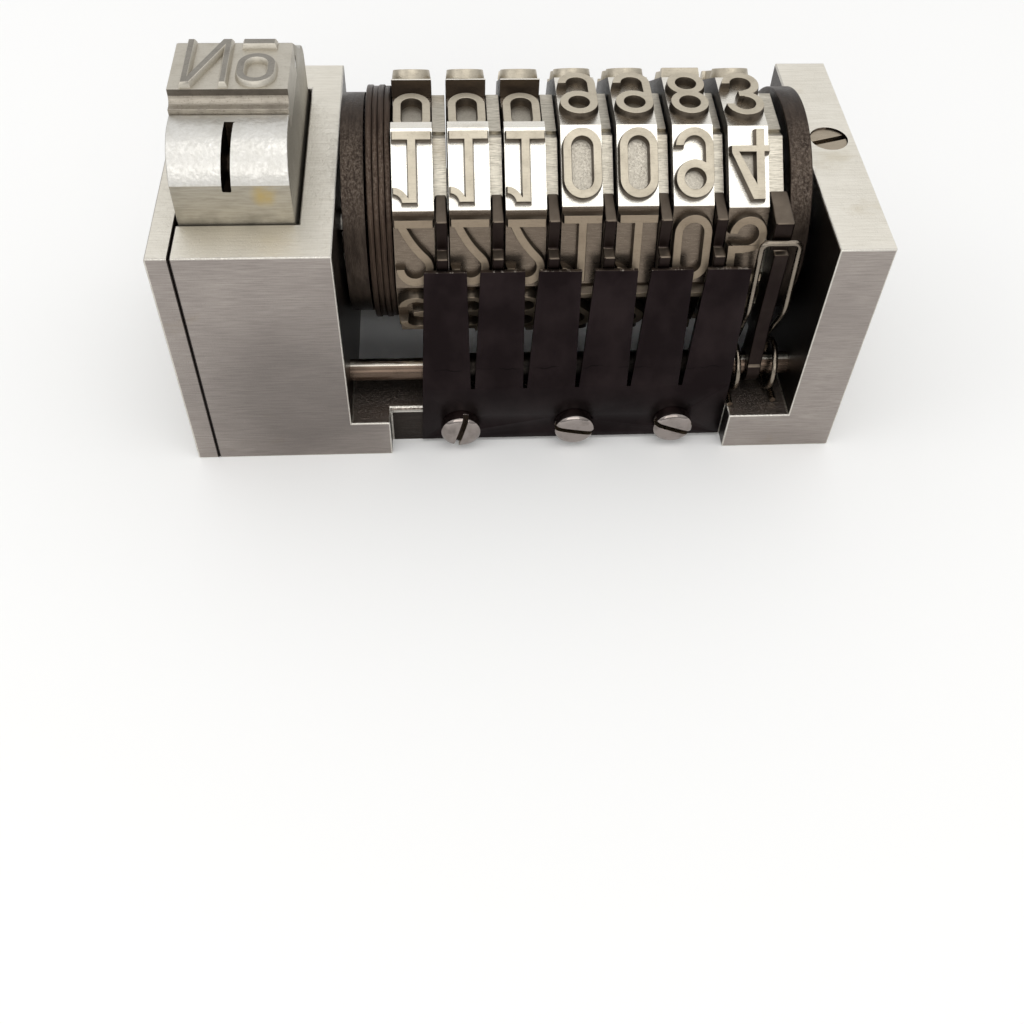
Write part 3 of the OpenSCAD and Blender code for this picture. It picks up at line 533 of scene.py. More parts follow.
@dataclass(frozen=True)
class TypeMetal:
    """Dull type metal with ink and dirt left in its pores and fine marks of its cutter."""

    name: str
    colour: Point
    ink: Point = (0.14, 0.125, 0.11)
    rough: Range = (0.45, 0.62)
    metallic: float = 0.85
    pore_depth: float = 0.018
    dirt: float = 0.7
    pore: Layer = Layer((6.0, 6.0, 6.0), rough=0.65)
    lines: Layer = Layer((1.0, 11.0, 11.0), 2.0, 3.0, 0.6)
    cloud: Layer = Layer((0.6, 0.6, 0.6), 7.0, 3.0)

    def make(self) -> Material:
        """Wires the material.

        Returns:
            The material.
        """
        s = Shader(self.name, self.metallic)
        pore, lines, cloud = (s.noise(layer) for layer in (self.pore, self.lines, self.cloud))
        base = s.over(self.colour, self.ink, pore, (0.55, 0.78), self.dirt)
        base = s.over(base, self.ink, cloud, (0.5, 0.78), 0.5 * self.dirt)
        base = s.over(base, self.ink, lines, (0.5, 0.8), 0.6 * self.dirt)
        s.relief((pore, self.pore_depth), (lines, 0.5 * self.pore_depth))
        return s.finish(base, s.spread(cloud, (0.35, 0.65), self.rough))


@dataclass(frozen=True)
class BlackOxide:
    """Black-brown oxide on steel, rubbed through to bare metal in specks."""

    name: str
    colour: Point = (0.024, 0.021, 0.019)
    brown: Point = (0.045, 0.036, 0.03)
    bare: Point = (0.3, 0.27, 0.24)
    rough: Range = (0.3, 0.46)
    worn_from: float = 0.7
    worn_ramp: float = 0.08
    groove: float = 0.01
    marks: Layer = Layer(Grain.CRYSTAL.value, rough=0.65)
    cloud: Layer = Layer((0.35, 0.35, 0.35), 4.0)
    wear: Layer = Layer((2.2, 1.4, 1.4), 13.0, 8.0, 0.72)

    def make(self) -> Material:
        """Wires the material.

        Returns:
            The material.
        """
        s = Shader(self.name)
        marks, cloud, wear = (s.noise(layer) for layer in (self.marks, self.cloud, self.wear))
        base = s.over(self.colour, self.brown, cloud, (0.4, 0.68))
        base = s.over(base, self.bare, wear, (self.worn_from, self.worn_from + self.worn_ramp))
        s.relief((cloud, self.groove), (marks, self.groove))
        return s.finish(base, s.spread(marks, (0.35, 0.65), self.rough))


@dataclass(frozen=True)
class RolledOxide:
    """Oxide on the turned discs: fine uneven rings, with chips rubbed through and a painted highlight along the top
    front.
    """

    name: str
    colour: Point = (0.04, 0.027, 0.021)
    brown: Point = (0.1, 0.07, 0.052)
    bare: Point = (0.26, 0.21, 0.17)
    rough: Range = (0.3, 0.44)
    rings: Point = (9.0, 0.25, 0.25)
    ring_depth: float = 0.06
    chip_depth: float = 0.03
    lighter_toward: Point = (0.0, -0.62, 0.785)
    cloud: Layer = Layer((0.8, 0.5, 0.5), 4.0, 5.0, 0.6)
    chip: Layer = Layer((6.0, 4.0, 4.0), 13.0, 6.0, 0.75)

    def make(self) -> Material:
        """Wires the material.

        Returns:
            The material.
        """
        s = Shader(self.name)
        rings = s.noise(Layer(self.rings, detail=6.0, rough=0.75))
        cloud, chip = s.noise(self.cloud), s.noise(self.chip)
        # Painted highlight with wear chips: bare colour where the surface looks up and to the front.
        chip_and_highlight = s.facing(self.lighter_toward, (0.86, 0.985))
        base = s.over(self.colour, self.brown, rings, (0.4, 0.66))
        base = s.over(base, self.brown, cloud, (0.45, 0.75), 0.6)
        base = s.blend(s.times(chip_and_highlight, s.spread(chip, (0.45, 0.8))), base, self.bare)
        s.relief((rings, self.ring_depth), (s.times(chip_and_highlight, chip), self.chip_depth),
                 (chip, 0.5 * self.chip_depth))
        return s.finish(base, s.spread(cloud, (0.35, 0.65), self.rough))


@dataclass(frozen=True)
class CombOxide:
    """Smooth blued spring plate with faint cross scores near the rod and small scuffs."""

    name: str
    colour: Point = (0.013, 0.009, 0.0095)
    brown: Point = (0.024, 0.017, 0.0175)
    score: Point = (0.005, 0.004, 0.004)
    rough: Range = (0.3, 0.4)
    score_height: float = 9.1
    score_width: float = 0.09
    score_waver: float = 0.45
    cloud: Layer = Layer((0.3, 0.3, 0.22), 4.0, 5.0)
    fine: Layer = Layer((9.0, 9.0, 3.0), 2.0, rough=0.65)
    wander: Layer = Layer((0.45, 0.1, 0.1), 31.0, 3.0)
    broken: Layer = Layer((0.55, 1.0, 2.0), 17.0, 5.0, 0.65)
    scuff: Layer = Layer((1.1, 1.1, 2.6), 40.0, 6.0, 0.7)

    def make(self) -> Material:
        """Wires the material.

        Returns:
            The material.
        """
        s = Shader(self.name)
        cloud, fine, wander, broken, scuff = (s.noise(layer) for layer in (
            self.cloud, self.fine, self.wander, self.broken, self.scuff))
        waver = s.spread(wander, (0.2, 0.8), (-self.score_waver * MM, self.score_waver * MM))
        height = s.reckon("ADD", s.height(), waver)
        rise, fall = (
            s.spread(height, ((self.score_height + side * self.score_width) * MM,
                              self.score_height * MM)) for side in (-1, 1))
        line = s.times(s.times(rise, fall), s.spread(broken, (0.45, 0.55)))
        base = s.over(self.colour, self.brown, cloud, (0.4, 0.7))
        base = s.over(base, self.score, scuff, (0.7, 0.76), 0.8)
        base = s.blend(line, base, self.score)
        s.relief((cloud, 0.02), (fine, 0.004))
        return s.finish(base, s.spread(fine, (0.35, 0.65), self.rough))


@dataclass(frozen=True)
class BrightMetal:
    """Drawn steel or plating: smooth, with faint marks round or along it and, where set, one painted highlight line.
    """

    name: str
    colour: Point = (0.62, 0.59, 0.54)
    dull: Point = (0.42, 0.38, 0.33)
    rough: Range = (0.16, 0.28)
    grain: Grain = Grain.ALONG_X
    groove: float = 0.004
    lighter_toward: Point | None = None
    highlight_colour: Point = (0.95, 0.9, 0.8)
    cloud: Layer = Layer((0.8, 0.8, 0.8), 6.0)

    def make(self) -> Material:
        """Wires the material.

        Returns:
            The material.
        """
        s = Shader(self.name)
        marks = s.noise(Layer(self.grain.value, detail=3.0))
        base = s.over(self.colour, self.dull, s.noise(self.cloud), (0.48, 0.72), 0.5)
        # Painted highlight where the surface looks one way.
        if self.lighter_toward is not None:
            base = s.blend(s.facing(self.lighter_toward, (0.955, 0.985)), base, self.highlight_colour)
        s.relief((marks, self.groove))
        return s.finish(base, s.spread(marks, (0.35, 0.65), self.rough))


class Finish(Enum):
    """Every finish of the machine."""

    # The next three are one ground steel in lit and shaded copies: painted light on the tops, painted shade on the
    # outer sides and fronts.
    STEEL = GroundSteel("ground_steel", (0.9, 0.86, 0.77), (0.74, 0.7, 0.61))
    STEEL_FRONT_SHADE = GroundSteel(
        "ground_steel_front_shade", (0.4, 0.36, 0.33), (0.25, 0.22, 0.205), (0.28, 0.22, 0.14),
        dark_patch_at=(-19.0, -13.5, 7.5))
    STEEL_SIDE_SHADE = GroundSteel(
        "ground_steel_side_shade", (0.42, 0.395, 0.355), (0.3, 0.28, 0.25), grain=Grain.ALONG_Y)
    STEEL_EDGE = GroundSteel(
        "steel_edge", (0.74, 0.71, 0.65), (0.46, 0.43, 0.38), grain=Grain.CRYSTAL,
        rough=(0.24, 0.36), groove=0.02, stain_from=0.8)
    # Painted shade: near black on faces inside the frame, on the sides of the wheels and ratchets and along the joint
    # of frame and plate.
    STEEL_SHADE = GroundSteel(
        "steel_shade", (0.045, 0.037, 0.032), (0.025, 0.02, 0.018), (0.04, 0.03, 0.02),
        rough=(0.3, 0.45))
    # Painted shade on the low tops of the feet.
    STEEL_FOOT_SHADE = GroundSteel(
        "foot_steel_shade", (0.28, 0.235, 0.205), (0.15, 0.125, 0.106), (0.17, 0.12, 0.08),
        rough=(0.3, 0.45), pit=0.03)
    ALLOY = BlastedAlloy("blasted_alloy")
    # Painted shade: the plunger's flat sides darker than its blasted alloy.
    ALLOY_FLAT_SHADE = RubbedAlloy("rubbed_alloy_shade")
    SLUG = TypeMetal("slug_body", (0.56, 0.525, 0.455), (0.3, 0.27, 0.22), (0.4, 0.55), dirt=0.5)
    SLUG_HOLLOW = TypeMetal(
        "slug_hollow", (0.42, 0.38, 0.32), (0.12, 0.1, 0.08), (0.4, 0.55), dirt=0.8)
    # Ink and painted shade on the front wall of the slug's block.
    SLUG_INK_AND_SHADE = TypeMetal("slug_front_ink_and_shade", (0.14, 0.122, 0.1), (0.07, 0.06, 0.05))
    SLUG_FACE = TypeMetal("slug_type_face", (0.3, 0.28, 0.245), rough=(0.4, 0.52))
    FLAT = GroundSteel(
        "wheel_flat", (0.88, 0.85, 0.78), (0.68, 0.645, 0.575), (0.42, 0.35, 0.25),
        Grain.ACROSS_WHEEL, (0.22, 0.32), groove=0.004, pit=0.003, marks=0.5)
    # Rows 2 to 4 of the wheels take darker copies of the flat and the digit face: painted shade, a dark reflection of
    # the front baked into those rows.
    FLAT_SHADE = GroundSteel(
        "wheel_flat_worn", (0.22, 0.178, 0.138), (0.13, 0.1, 0.077), (0.1, 0.072, 0.046),
        Grain.ACROSS_WHEEL, (0.24, 0.34), groove=0.004, pit=0.003, marks=0.5)
    COUNTER = GroundSteel(
        "digit_counter", (0.5, 0.465, 0.4), (0.33, 0.3, 0.25), (0.25, 0.2, 0.14),
        Grain.CRYSTAL, (0.3, 0.42), groove=0.016, pit=0.01, marks=0.7)
    # Painted shade on the walls of the zero's slot.
    SLOT_WALL_SHADE = TypeMetal("slot_wall_shade", (0.1, 0.073, 0.052), (0.045, 0.034, 0.026))
    DIGIT_FACE = TypeMetal(
        "digit_face", (0.56, 0.505, 0.405), (0.32, 0.275, 0.21), (0.45, 0.58),
        pore_depth=0.01, dirt=0.6)
    DIGIT_FACE_SHADE = TypeMetal(
        "digit_face_shade", (0.3, 0.24, 0.175), (0.16, 0.12, 0.085), (0.4, 0.52),
        pore_depth=0.01, dirt=0.6)
    # Painted shade on the digits' flanks, and a lit copy, painted light, on the flanks of rows 8 and 9.
    DIGIT_FLANK_SHADE = TypeMetal("digit_flank_shade", (0.11, 0.088, 0.066), (0.05, 0.04, 0.03), (0.3, 0.45))
    DIGIT_FLANK_LIT = TypeMetal(
        "digit_flank_lit", (0.5, 0.45, 0.36), (0.25, 0.21, 0.16), (0.3, 0.45))
    RATCHET = GroundSteel(
        "ratchet_steel", (0.7, 0.655, 0.56), (0.33, 0.3, 0.245), (0.34, 0.27, 0.18),
        Grain.HATCHED, (0.3, 0.44), groove=0.014, pit=0.006, stain_from=0.58, marks=0.85)
    OXIDE = BlackOxide("black_oxide")
    OXIDE_EDGE = BlackOxide("oxide_edge", (0.05, 0.04, 0.034), (0.1, 0.08, 0.065), worn_from=0.62)
    # The next two are one black oxide for the pawls: near black on the fronts, with a lighter copy on the tops for
    # wear and painted light.
    PAWL_FRONT = BlackOxide(
        "pawl_front", (0.019, 0.013, 0.012), (0.03, 0.022, 0.019), (0.12, 0.1, 0.085),
        worn_from=0.74)
    PAWL_TOP = BlackOxide(
        "pawl_top", (0.125, 0.1, 0.078), (0.19, 0.155, 0.12), rough=(0.32, 0.46))
    COMB = CombOxide("comb_oxide")
    COMB_END = BlackOxide(
        "comb_cut_end", (0.06, 0.045, 0.038), (0.14, 0.115, 0.095), (0.5, 0.45, 0.4),
        worn_from=0.55, groove=0.03)
    DISC = RolledOxide("disc_oxide")
    COLLAR = RolledOxide(
        "collar_oxide", (0.035, 0.026, 0.021), (0.075, 0.057, 0.045), rings=(2.5, 0.5, 0.5),
        ring_depth=0.03, chip_depth=0.05)
    # Darker than nickel: painted dark reflection on the screw heads.
    NICKEL = BrightMetal(
        "nickel_plating", (0.34, 0.3, 0.28), (0.09, 0.075, 0.065), (0.06, 0.13),
        Grain.CRYSTAL, 0.0025)
    SLOT_SHADE = BlackOxide("slot_shade", (0.03, 0.022, 0.017), (0.07, 0.05, 0.036))
    DRAWN = BrightMetal("drawn_steel")
    LOCK = BrightMetal(
        "lock_screw_steel", (0.4, 0.34, 0.26), (0.22, 0.175, 0.125), (0.25, 0.4))
    # A dark base as painted shade, with a painted highlight line along the top.
    ROD = BrightMetal(
        "rod_steel", (0.125, 0.09, 0.068), (0.075, 0.055, 0.042), (0.2, 0.32), groove=0.01,
        lighter_toward=(0.0, -0.21, 0.978))
    WIRE = BrightMetal("spring_wire", (0.24, 0.205, 0.165), (0.14, 0.115, 0.09), (0.2, 0.3))

    @cache
    def material(self) -> Material:
        """Makes the material, once."""
        return self.value.make()


# Hand tools


class Bench:
    """Modelling steps that every sub-assembly uses."""

    merge = 0.002
    flatness = 0.4
    smooth_to = 50.0
    normal_weight = 80

    @staticmethod
    def pick_up(obj: Obj) -> None:
        """Makes an object the only selected one and the active one.

        Args:
            obj: the object.
        """
        bpy.ops.object.select_all(action="DESELECT")
        obj.select_set(True)
        bpy.context.view_layer.objects.active = obj

    @staticmethod
    def settle(obj: Obj) -> None:
        """Moves an object's place, turn and size into its mesh."""
        Bench.pick_up(obj)
        bpy.ops.object.transform_apply(location=True, rotation=True, scale=True)

    @staticmethod
    @contextmanager
    def editing(obj: Obj) -> Iterator[None]:
        """Holds an object in edit mode.

        Args:
            obj: the object.

        Returns:
            Nothing to work with; the object is active and open.
        """
        Bench.pick_up(obj)
        bpy.ops.object.mode_set(mode="EDIT")
        yield
        bpy.ops.object.mode_set(mode="OBJECT")

    @staticmethod
    def added(name: str) -> Obj:
        """Names the primitive that was just added.

        Args:
            name: its name.

        Returns:
            The primitive.
        """
        obj = bpy.context.active_object
        obj.name = name
        obj.data.name = name
        return obj

    @staticmethod
    def placed(name: str, data: bpy.types.ID) -> Obj:
        """Puts new data into the scene.

        Args:
            name: the new object's name.
            data: its mesh, curve, lamp or camera.

        Returns:
            The object.
        """
        obj = bpy.data.objects.new(name, data)
        bpy.context.scene.collection.objects.link(obj)
        return obj

    @staticmethod
    def select(obj: Obj, test: Callable[[Any], bool], points: bool = False) -> int:
        """Selects faces or points of the object that is in edit mode.

        Args:
            obj: the object.
            test: says for each face or point whether it is picked.
            points: whether points are picked, with the edges and faces between them.

        Returns:
            How many were picked.
        """
        mesh = bmesh.from_edit_mesh(obj.data)
        bpy.ops.mesh.select_all(action="DESELECT")
        mesh.select_mode = {"VERT" if points else "FACE"}
        picked = [item for item in (mesh.verts if points else mesh.faces) if test(item)]
        for item in picked:
            item.select_set(True)
        mesh.select_flush_mode()
        bmesh.update_edit_mesh(obj.data)
        return len(picked)

    @staticmethod
    def bar(name: str, low: Sequence[float], high: Sequence[float]) -> Obj:
        """Adds a bar between two corners.

        Args:
            name: the bar's name.
            low: its lowest corner, in metres.
            high: its highest corner, in metres.

        Returns:
            The bar, with its place in its mesh.
        """
        bpy.ops.object.select_all(action="DESELECT")
        middle = [(a + b) / 2 for a, b in zip(low, high)]
        bpy.ops.mesh.primitive_cube_add(size=1.0, location=middle)
        obj = Bench.added(name)
        obj.scale = [b - a for a, b in zip(low, high)]
        Bench.settle(obj)
        return obj

    @staticmethod
    def rod_along_y(name: str, middle: Sequence[float], radius: float, length: float,
                    sides: int = 48) -> Obj:
        """Adds a round bar along Y.

        Args:
            name: the bar's name.
            middle: its middle, in metres.
            radius: its radius, in metres.
            length: its length, in metres.
            sides: faces round it.

        Returns:
            The bar, with its place in its mesh.
        """
        bpy.ops.object.select_all(action="DESELECT")
        bpy.ops.mesh.primitive_cylinder_add(vertices=sides, radius=radius, depth=length,
                                            location=middle, rotation=(math.radians(90), 0, 0))
        obj = Bench.added(name)
        Bench.settle(obj)
        return obj

    @staticmethod
    def carve(obj: Obj, cutter: Obj) -> None:
        """Cuts one shape out of another and clears the cutter away.

        Args:
            obj: the shape that is cut.
            cutter: the shape that is taken out.
        """
        Bench.pick_up(obj)
        boolean = obj.modifiers.new("carve", "BOOLEAN")
        boolean.operation = "DIFFERENCE"
        boolean.solver = "EXACT"
        boolean.object = cutter
        bpy.ops.object.modifier_apply(modifier=boolean.name)
        bpy.data.objects.remove(cutter)

    @staticmethod
    def copy_node(node: str, name: str) -> Obj:
        """Copies a CAD node, joins its loose triangles and clears lines inside flat faces.

        Args:
            node: the CAD node.
            name: name of the copy.

        Returns:
            The copy, which stands for the node.
        """
        obj = Bench.placed(name, frame["nodes"][node].data.copy())
        obj.data.name = name
        obj.data.materials.clear()
        Bench.pick_up(obj)
        bpy.ops.mesh.customdata_custom_splitnormals_clear()
        with Bench.editing(obj):
            bpy.ops.mesh.select_all(action="SELECT")
            bpy.ops.mesh.remove_doubles(threshold=Bench.merge * MM)
            bpy.ops.mesh.dissolve_degenerate(threshold=Bench.merge * MM)
            bpy.ops.mesh.dissolve_limited(angle_limit=math.radians(Bench.flatness))
        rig.replaces(obj, node)
        return obj

    @staticmethod
    def weigh_edges(obj: Obj, angle: float, weight: Share) -> None:
        """Sets how far each edge is rounded.

        Args:
            obj: the object.
            angle: sharpest angle in degrees that stays as it is.
            weight: gives an edge's share of the rounding's width from its two ends.
        """
        mesh = bmesh.new()
        mesh.from_mesh(obj.data)
        layer = mesh.edges.layers.float.new("bevel_weight_edge")
        for edge in mesh.edges:
            if edge.calc_face_angle(0.0) > math.radians(angle):
                edge[layer] = weight(edge.verts[0].co, edge.verts[1].co)
        mesh.to_mesh(obj.data)
        mesh.free()

    @staticmethod
    def round_edges(obj: Obj, width: float, edge_finish: Finish | None = None, segments: int = 2,
                    angle: float = 28.0, weight: Share | None = None) -> None:
        """Rounds the sharp edges and smooths the shading over them.

        Args:
            obj: the object.
            width: width of the rounding in mm.
            edge_finish: finish of the rounded edges, or None for their neighbours'.
            segments: faces across the rounding.
            angle: sharpest angle in degrees that stays as it is.
            weight: gives an edge's share of the width; without it all are alike.
        """
        if weight is not None:
            Bench.weigh_edges(obj, angle, weight)
        Bench.pick_up(obj)
        bevel = obj.modifiers.new("edges", "BEVEL")
        bevel.width = width * MM
        bevel.segments = segments
        bevel.limit_method = "ANGLE" if weight is None else "WEIGHT"
        bevel.angle_limit = math.radians(angle)
        bevel.material = -1 if edge_finish is None else Bench.slot_of(obj, edge_finish)
        bevel.use_clamp_overlap = weight is None
        bpy.ops.object.modifier_apply(modifier=bevel.name)
        bpy.ops.object.shade_smooth_by_angle(angle=math.radians(Bench.smooth_to))
        normals = obj.modifiers.new("normals", "WEIGHTED_NORMAL")
        normals.keep_sharp = True
        normals.weight = Bench.normal_weight
        bpy.ops.object.modifier_apply(modifier=normals.name)

    @staticmethod
    def broad_edges(obj: Obj, length: float = 1.2, rims: bool = False) -> Share:
        """Gives the rule that rounds long straight edges.

        Args:
            obj: the object.
            length: shortest edge in mm that is rounded.
            rims: whether every edge on the object's left and right side is rounded too.

        Returns:
            The rule, which takes the two ends of an edge.
        """
        across = [v.co.x for v in obj.data.vertices]
        sides = (min(across), max(across)) if rims else ()

        def share(a: Vector, b: Vector) -> float:
            """Gives an edge's share."""
            rim = any(max(abs(a.x - x), abs(b.x - x)) < SAME for x in sides)
            return 1.0 if rim or (a - b).length > length * MM else 0.0

        return share

    @staticmethod
    def slot_of(obj: Obj, finish: Finish) -> int:
        """Gives the number of the slot that holds a finish."""
        return list(obj.data.materials).index(finish.material())

    @staticmethod
    def dress(obj: Obj, *finishes: Finish) -> None:
        """Gives an object its finishes; the first is all over it.

        Args:
            obj: the object.
            finishes: its finishes.
        """
        obj.data.materials.clear()
        for finish in finishes:
            obj.data.materials.append(finish.material())

    @staticmethod
    def paint(obj: Obj, rule: Callable[[Face], Finish | None]) -> None:
        """Sets each face's finish.

        Args:
            obj: the object.
            rule: gives a face's finish, or None to leave it.
        """
        for face in obj.data.polygons:
            finish = rule(face)
            if finish is not None:
                face.material_index = Bench.slot_of(obj, finish)

    @staticmethod
    def deliver(obj: Obj, body: str, slot: str) -> Obj:
        """Lets a finished piece ride on its body and logs it.

        Args:
            obj: the piece.
            body: the CAD body that carries it.
            slot: the record's material slot.

        Returns:
            The piece.
        """
        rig.ride(obj, body)
        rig.slot(obj, slot)
        log.info("%s rides on %s: %d faces", obj.name, body, len(obj.data.polygons))
        return obj

    @staticmethod
    def fitted(node: str, name: str, body: str, slot: str, finishes: Sequence[Finish],
               width: float, rule: Callable[[Face], Finish | None] | None = None,
               **rounding: Any) -> Obj:
        """Makes a piece from a CAD node: dresses, paints, rounds and delivers it.

        Args:
            node: the CAD node.
            name: the piece's name.
            body: the CAD body that carries it.
            slot: the record's material slot.
            finishes: its finishes.
            width: width of its rounded edges in mm.
            rule: gives a face's finish, where it has more than one.
            rounding: how round_edges rounds it.

        Returns:
            The piece.
        """
        obj = Bench.copy_node(node, name)
        Bench.dress(obj, *finishes)
        if rule is not None:
            Bench.paint(obj, rule)
        Bench.round_edges(obj, width, **rounding)
        return Bench.deliver(obj, body, slot)


@dataclass(frozen=True)
class Places:
    """Where the frame says that things are, in metres."""

    axis: tuple[float, float]
    rod: tuple[float, float]
    face_radius: float
    play: tuple[float, ...]

    @classmethod
    def read(cls, relief: float = 0.8,
             play: Sequence[float] = (2.4, 2.2, 2.4, 1.2, 1.2, 1.4, 2.3)) -> "Places":
        """Reads the axis, the rod and the wheels' size from the CAD nodes.

        Args:
            relief: height of the digits, in mm.
            play: how far each wheel leans to the front at rest, in degrees.

        Returns:
            The places.
        """
        shaft, rod = (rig.box(node) for node in ("main_shaft", "pawl_rod"))
        axis, rod_axis = (
            tuple((low[k] + high[k]) / 2 for k in (1, 2)) for low, high in (shaft, rod))
        lean = tuple(math.radians(angle) for angle in play)
        empty = cls(axis, rod_axis, 0.0, lean)
        points = (v.co for v in frame["nodes"]["number_wheel_4"].data.vertices)
        top = max(empty.height(point, 0, 4) for point in points)
        return cls(axis, rod_axis, top - relief * MM, lean)

    def outward(self, k: int, wheel: int) -> Vector:
        """Normal of a wheel's flat: 0 is the printing row, 1 the next one down the front."""
        angle = k * STEP + self.play[wheel - 1]
        return Vector((0.0, -math.sin(angle), math.cos(angle)))

    def along(self, k: int, wheel: int) -> Vector:
        """Direction down a wheel's flat, from the printing row to the front."""
        angle = k * STEP + self.play[wheel - 1]
        return Vector((0.0, -math.cos(angle), -math.sin(angle)))

    def height(self, point: Vector, k: int, wheel: int) -> float:
        """Height of a point over the wheels' axis, square to flat k."""
        return (point - Vector((0.0, *self.axis))).dot(self.outward(k, wheel))

    def reach(self, point: Vector, k: int, wheel: int) -> float:
        """How far a point lies down flat k from its middle."""
        return (point - Vector((0.0, *self.axis))).dot(self.along(k, wheel))

    def flat_of(self, point: Vector, wheel: int) -> int:
        """Number of the flat that a point lies over."""
        angle = math.atan2(self.axis[0] - point.y, point.z - self.axis[1]) - self.play[wheel - 1]
        return round(angle / STEP) % SIDES


# Sub-assemblies


@dataclass
class Housing:
    """Frame, cover plate, shafts and their screws. Sizes in mm."""

    edge: float = 0.13
    plate_edge: float = 0.12
    screw_edge: float = 0.06
    screw_angle: float = 35.0
    disc_edge: float = 0.05
    inner: float = 11.6
    low_top: float = 6.0
    front_y: float = -13.5
    seam: float = -27.625
    seam_lean: float = 0.1
    top_slope: float = 0.3

    def build(self) -> None:
        """Builds every fixed metal part."""
        self.block("frame", "machine_frame", self.edge)
        self.block("side_plate", "cover_plate", self.plate_edge)
        for node, name, finish, slot in (
                ("main_shaft", "wheel_shaft", Finish.DRAWN, "bright_steel"),
                ("pawl_rod", "pawl_rod_bar", Finish.ROD, "bright_steel"),
                ("shaft_lock_screw", "lock_screw", Finish.LOCK, "bright_steel"),
                ("side_plate_screws", "cover_screws", Finish.DRAWN, "bright_steel"),
                ("pawl_spacers", "rod_bushes", Finish.OXIDE, "black_oxide")):
            Bench.fitted(node, name, "frame", slot, [finish], self.screw_edge,
                         angle=self.screw_angle)
        for i in range(1, SPACERS + 1):
            Bench.fitted(f"spacer_disc_{i}", f"pack_disc_{i}", "frame", "black_oxide",
                         [Finish.DISC], self.disc_edge, segments=1)

    def block(self, node: str, name: str, edge: float) -> None:
        """Copies a flat-sided part, breaks its edges and grinds each face its own way, with painted light on its tops
        and painted shade on its fronts, sides, insides and low tops.

        Args:
            node: the CAD node.
            name: the piece's name.
            edge: width of the broken edges in mm.
        """
        def ground(face: Face) -> Finish:
            """Gives a face's finish: painted light on tops, painted shade on fronts, sides, insides and low tops.

            Args:
                face: the face, before its edges are broken.

            Returns:
                Its finish.
            """
            x = face.center.x
            inside = face.normal.x * x < 0 or abs(x) < self.inner * MM
            if abs(face.normal.x) > LEVEL:
                return Finish.STEEL_SHADE if inside else Finish.STEEL_SIDE_SHADE
            if face.normal.z > self.top_slope:
                return Finish.STEEL_FOOT_SHADE if face.center.z < self.low_top * MM else Finish.STEEL
            outer = abs(face.center.y) > abs(self.front_y) * MM - MM
            return Finish.STEEL_FRONT_SHADE if outer or not inside else Finish.STEEL_SHADE

        def seam(face: Face) -> Finish | None:
            """Darkens the broken edges along the joint of frame and plate."""
            broken = self.seam_lean < abs(face.normal.x) < SQUARE
            return Finish.STEEL_SHADE if broken and near_seam(face.center.x) else None

        def near_seam(x: float) -> bool:
            """Says whether a place lies in the joint."""
            return abs(x - self.seam * MM) < edge * MM

        obj = Bench.copy_node(node, name)
        Bench.dress(obj, Finish.STEEL, Finish.STEEL_EDGE, Finish.STEEL_SIDE_SHADE, Finish.STEEL_FRONT_SHADE,
                    Finish.STEEL_SHADE, Finish.STEEL_FOOT_SHADE)
        Bench.paint(obj, ground)
        Bench.round_edges(obj, edge, Finish.STEEL_EDGE, weight=Bench.broad_edges(obj))
        Bench.paint(obj, seam)
        Bench.deliver(obj, "frame", "frame_steel")


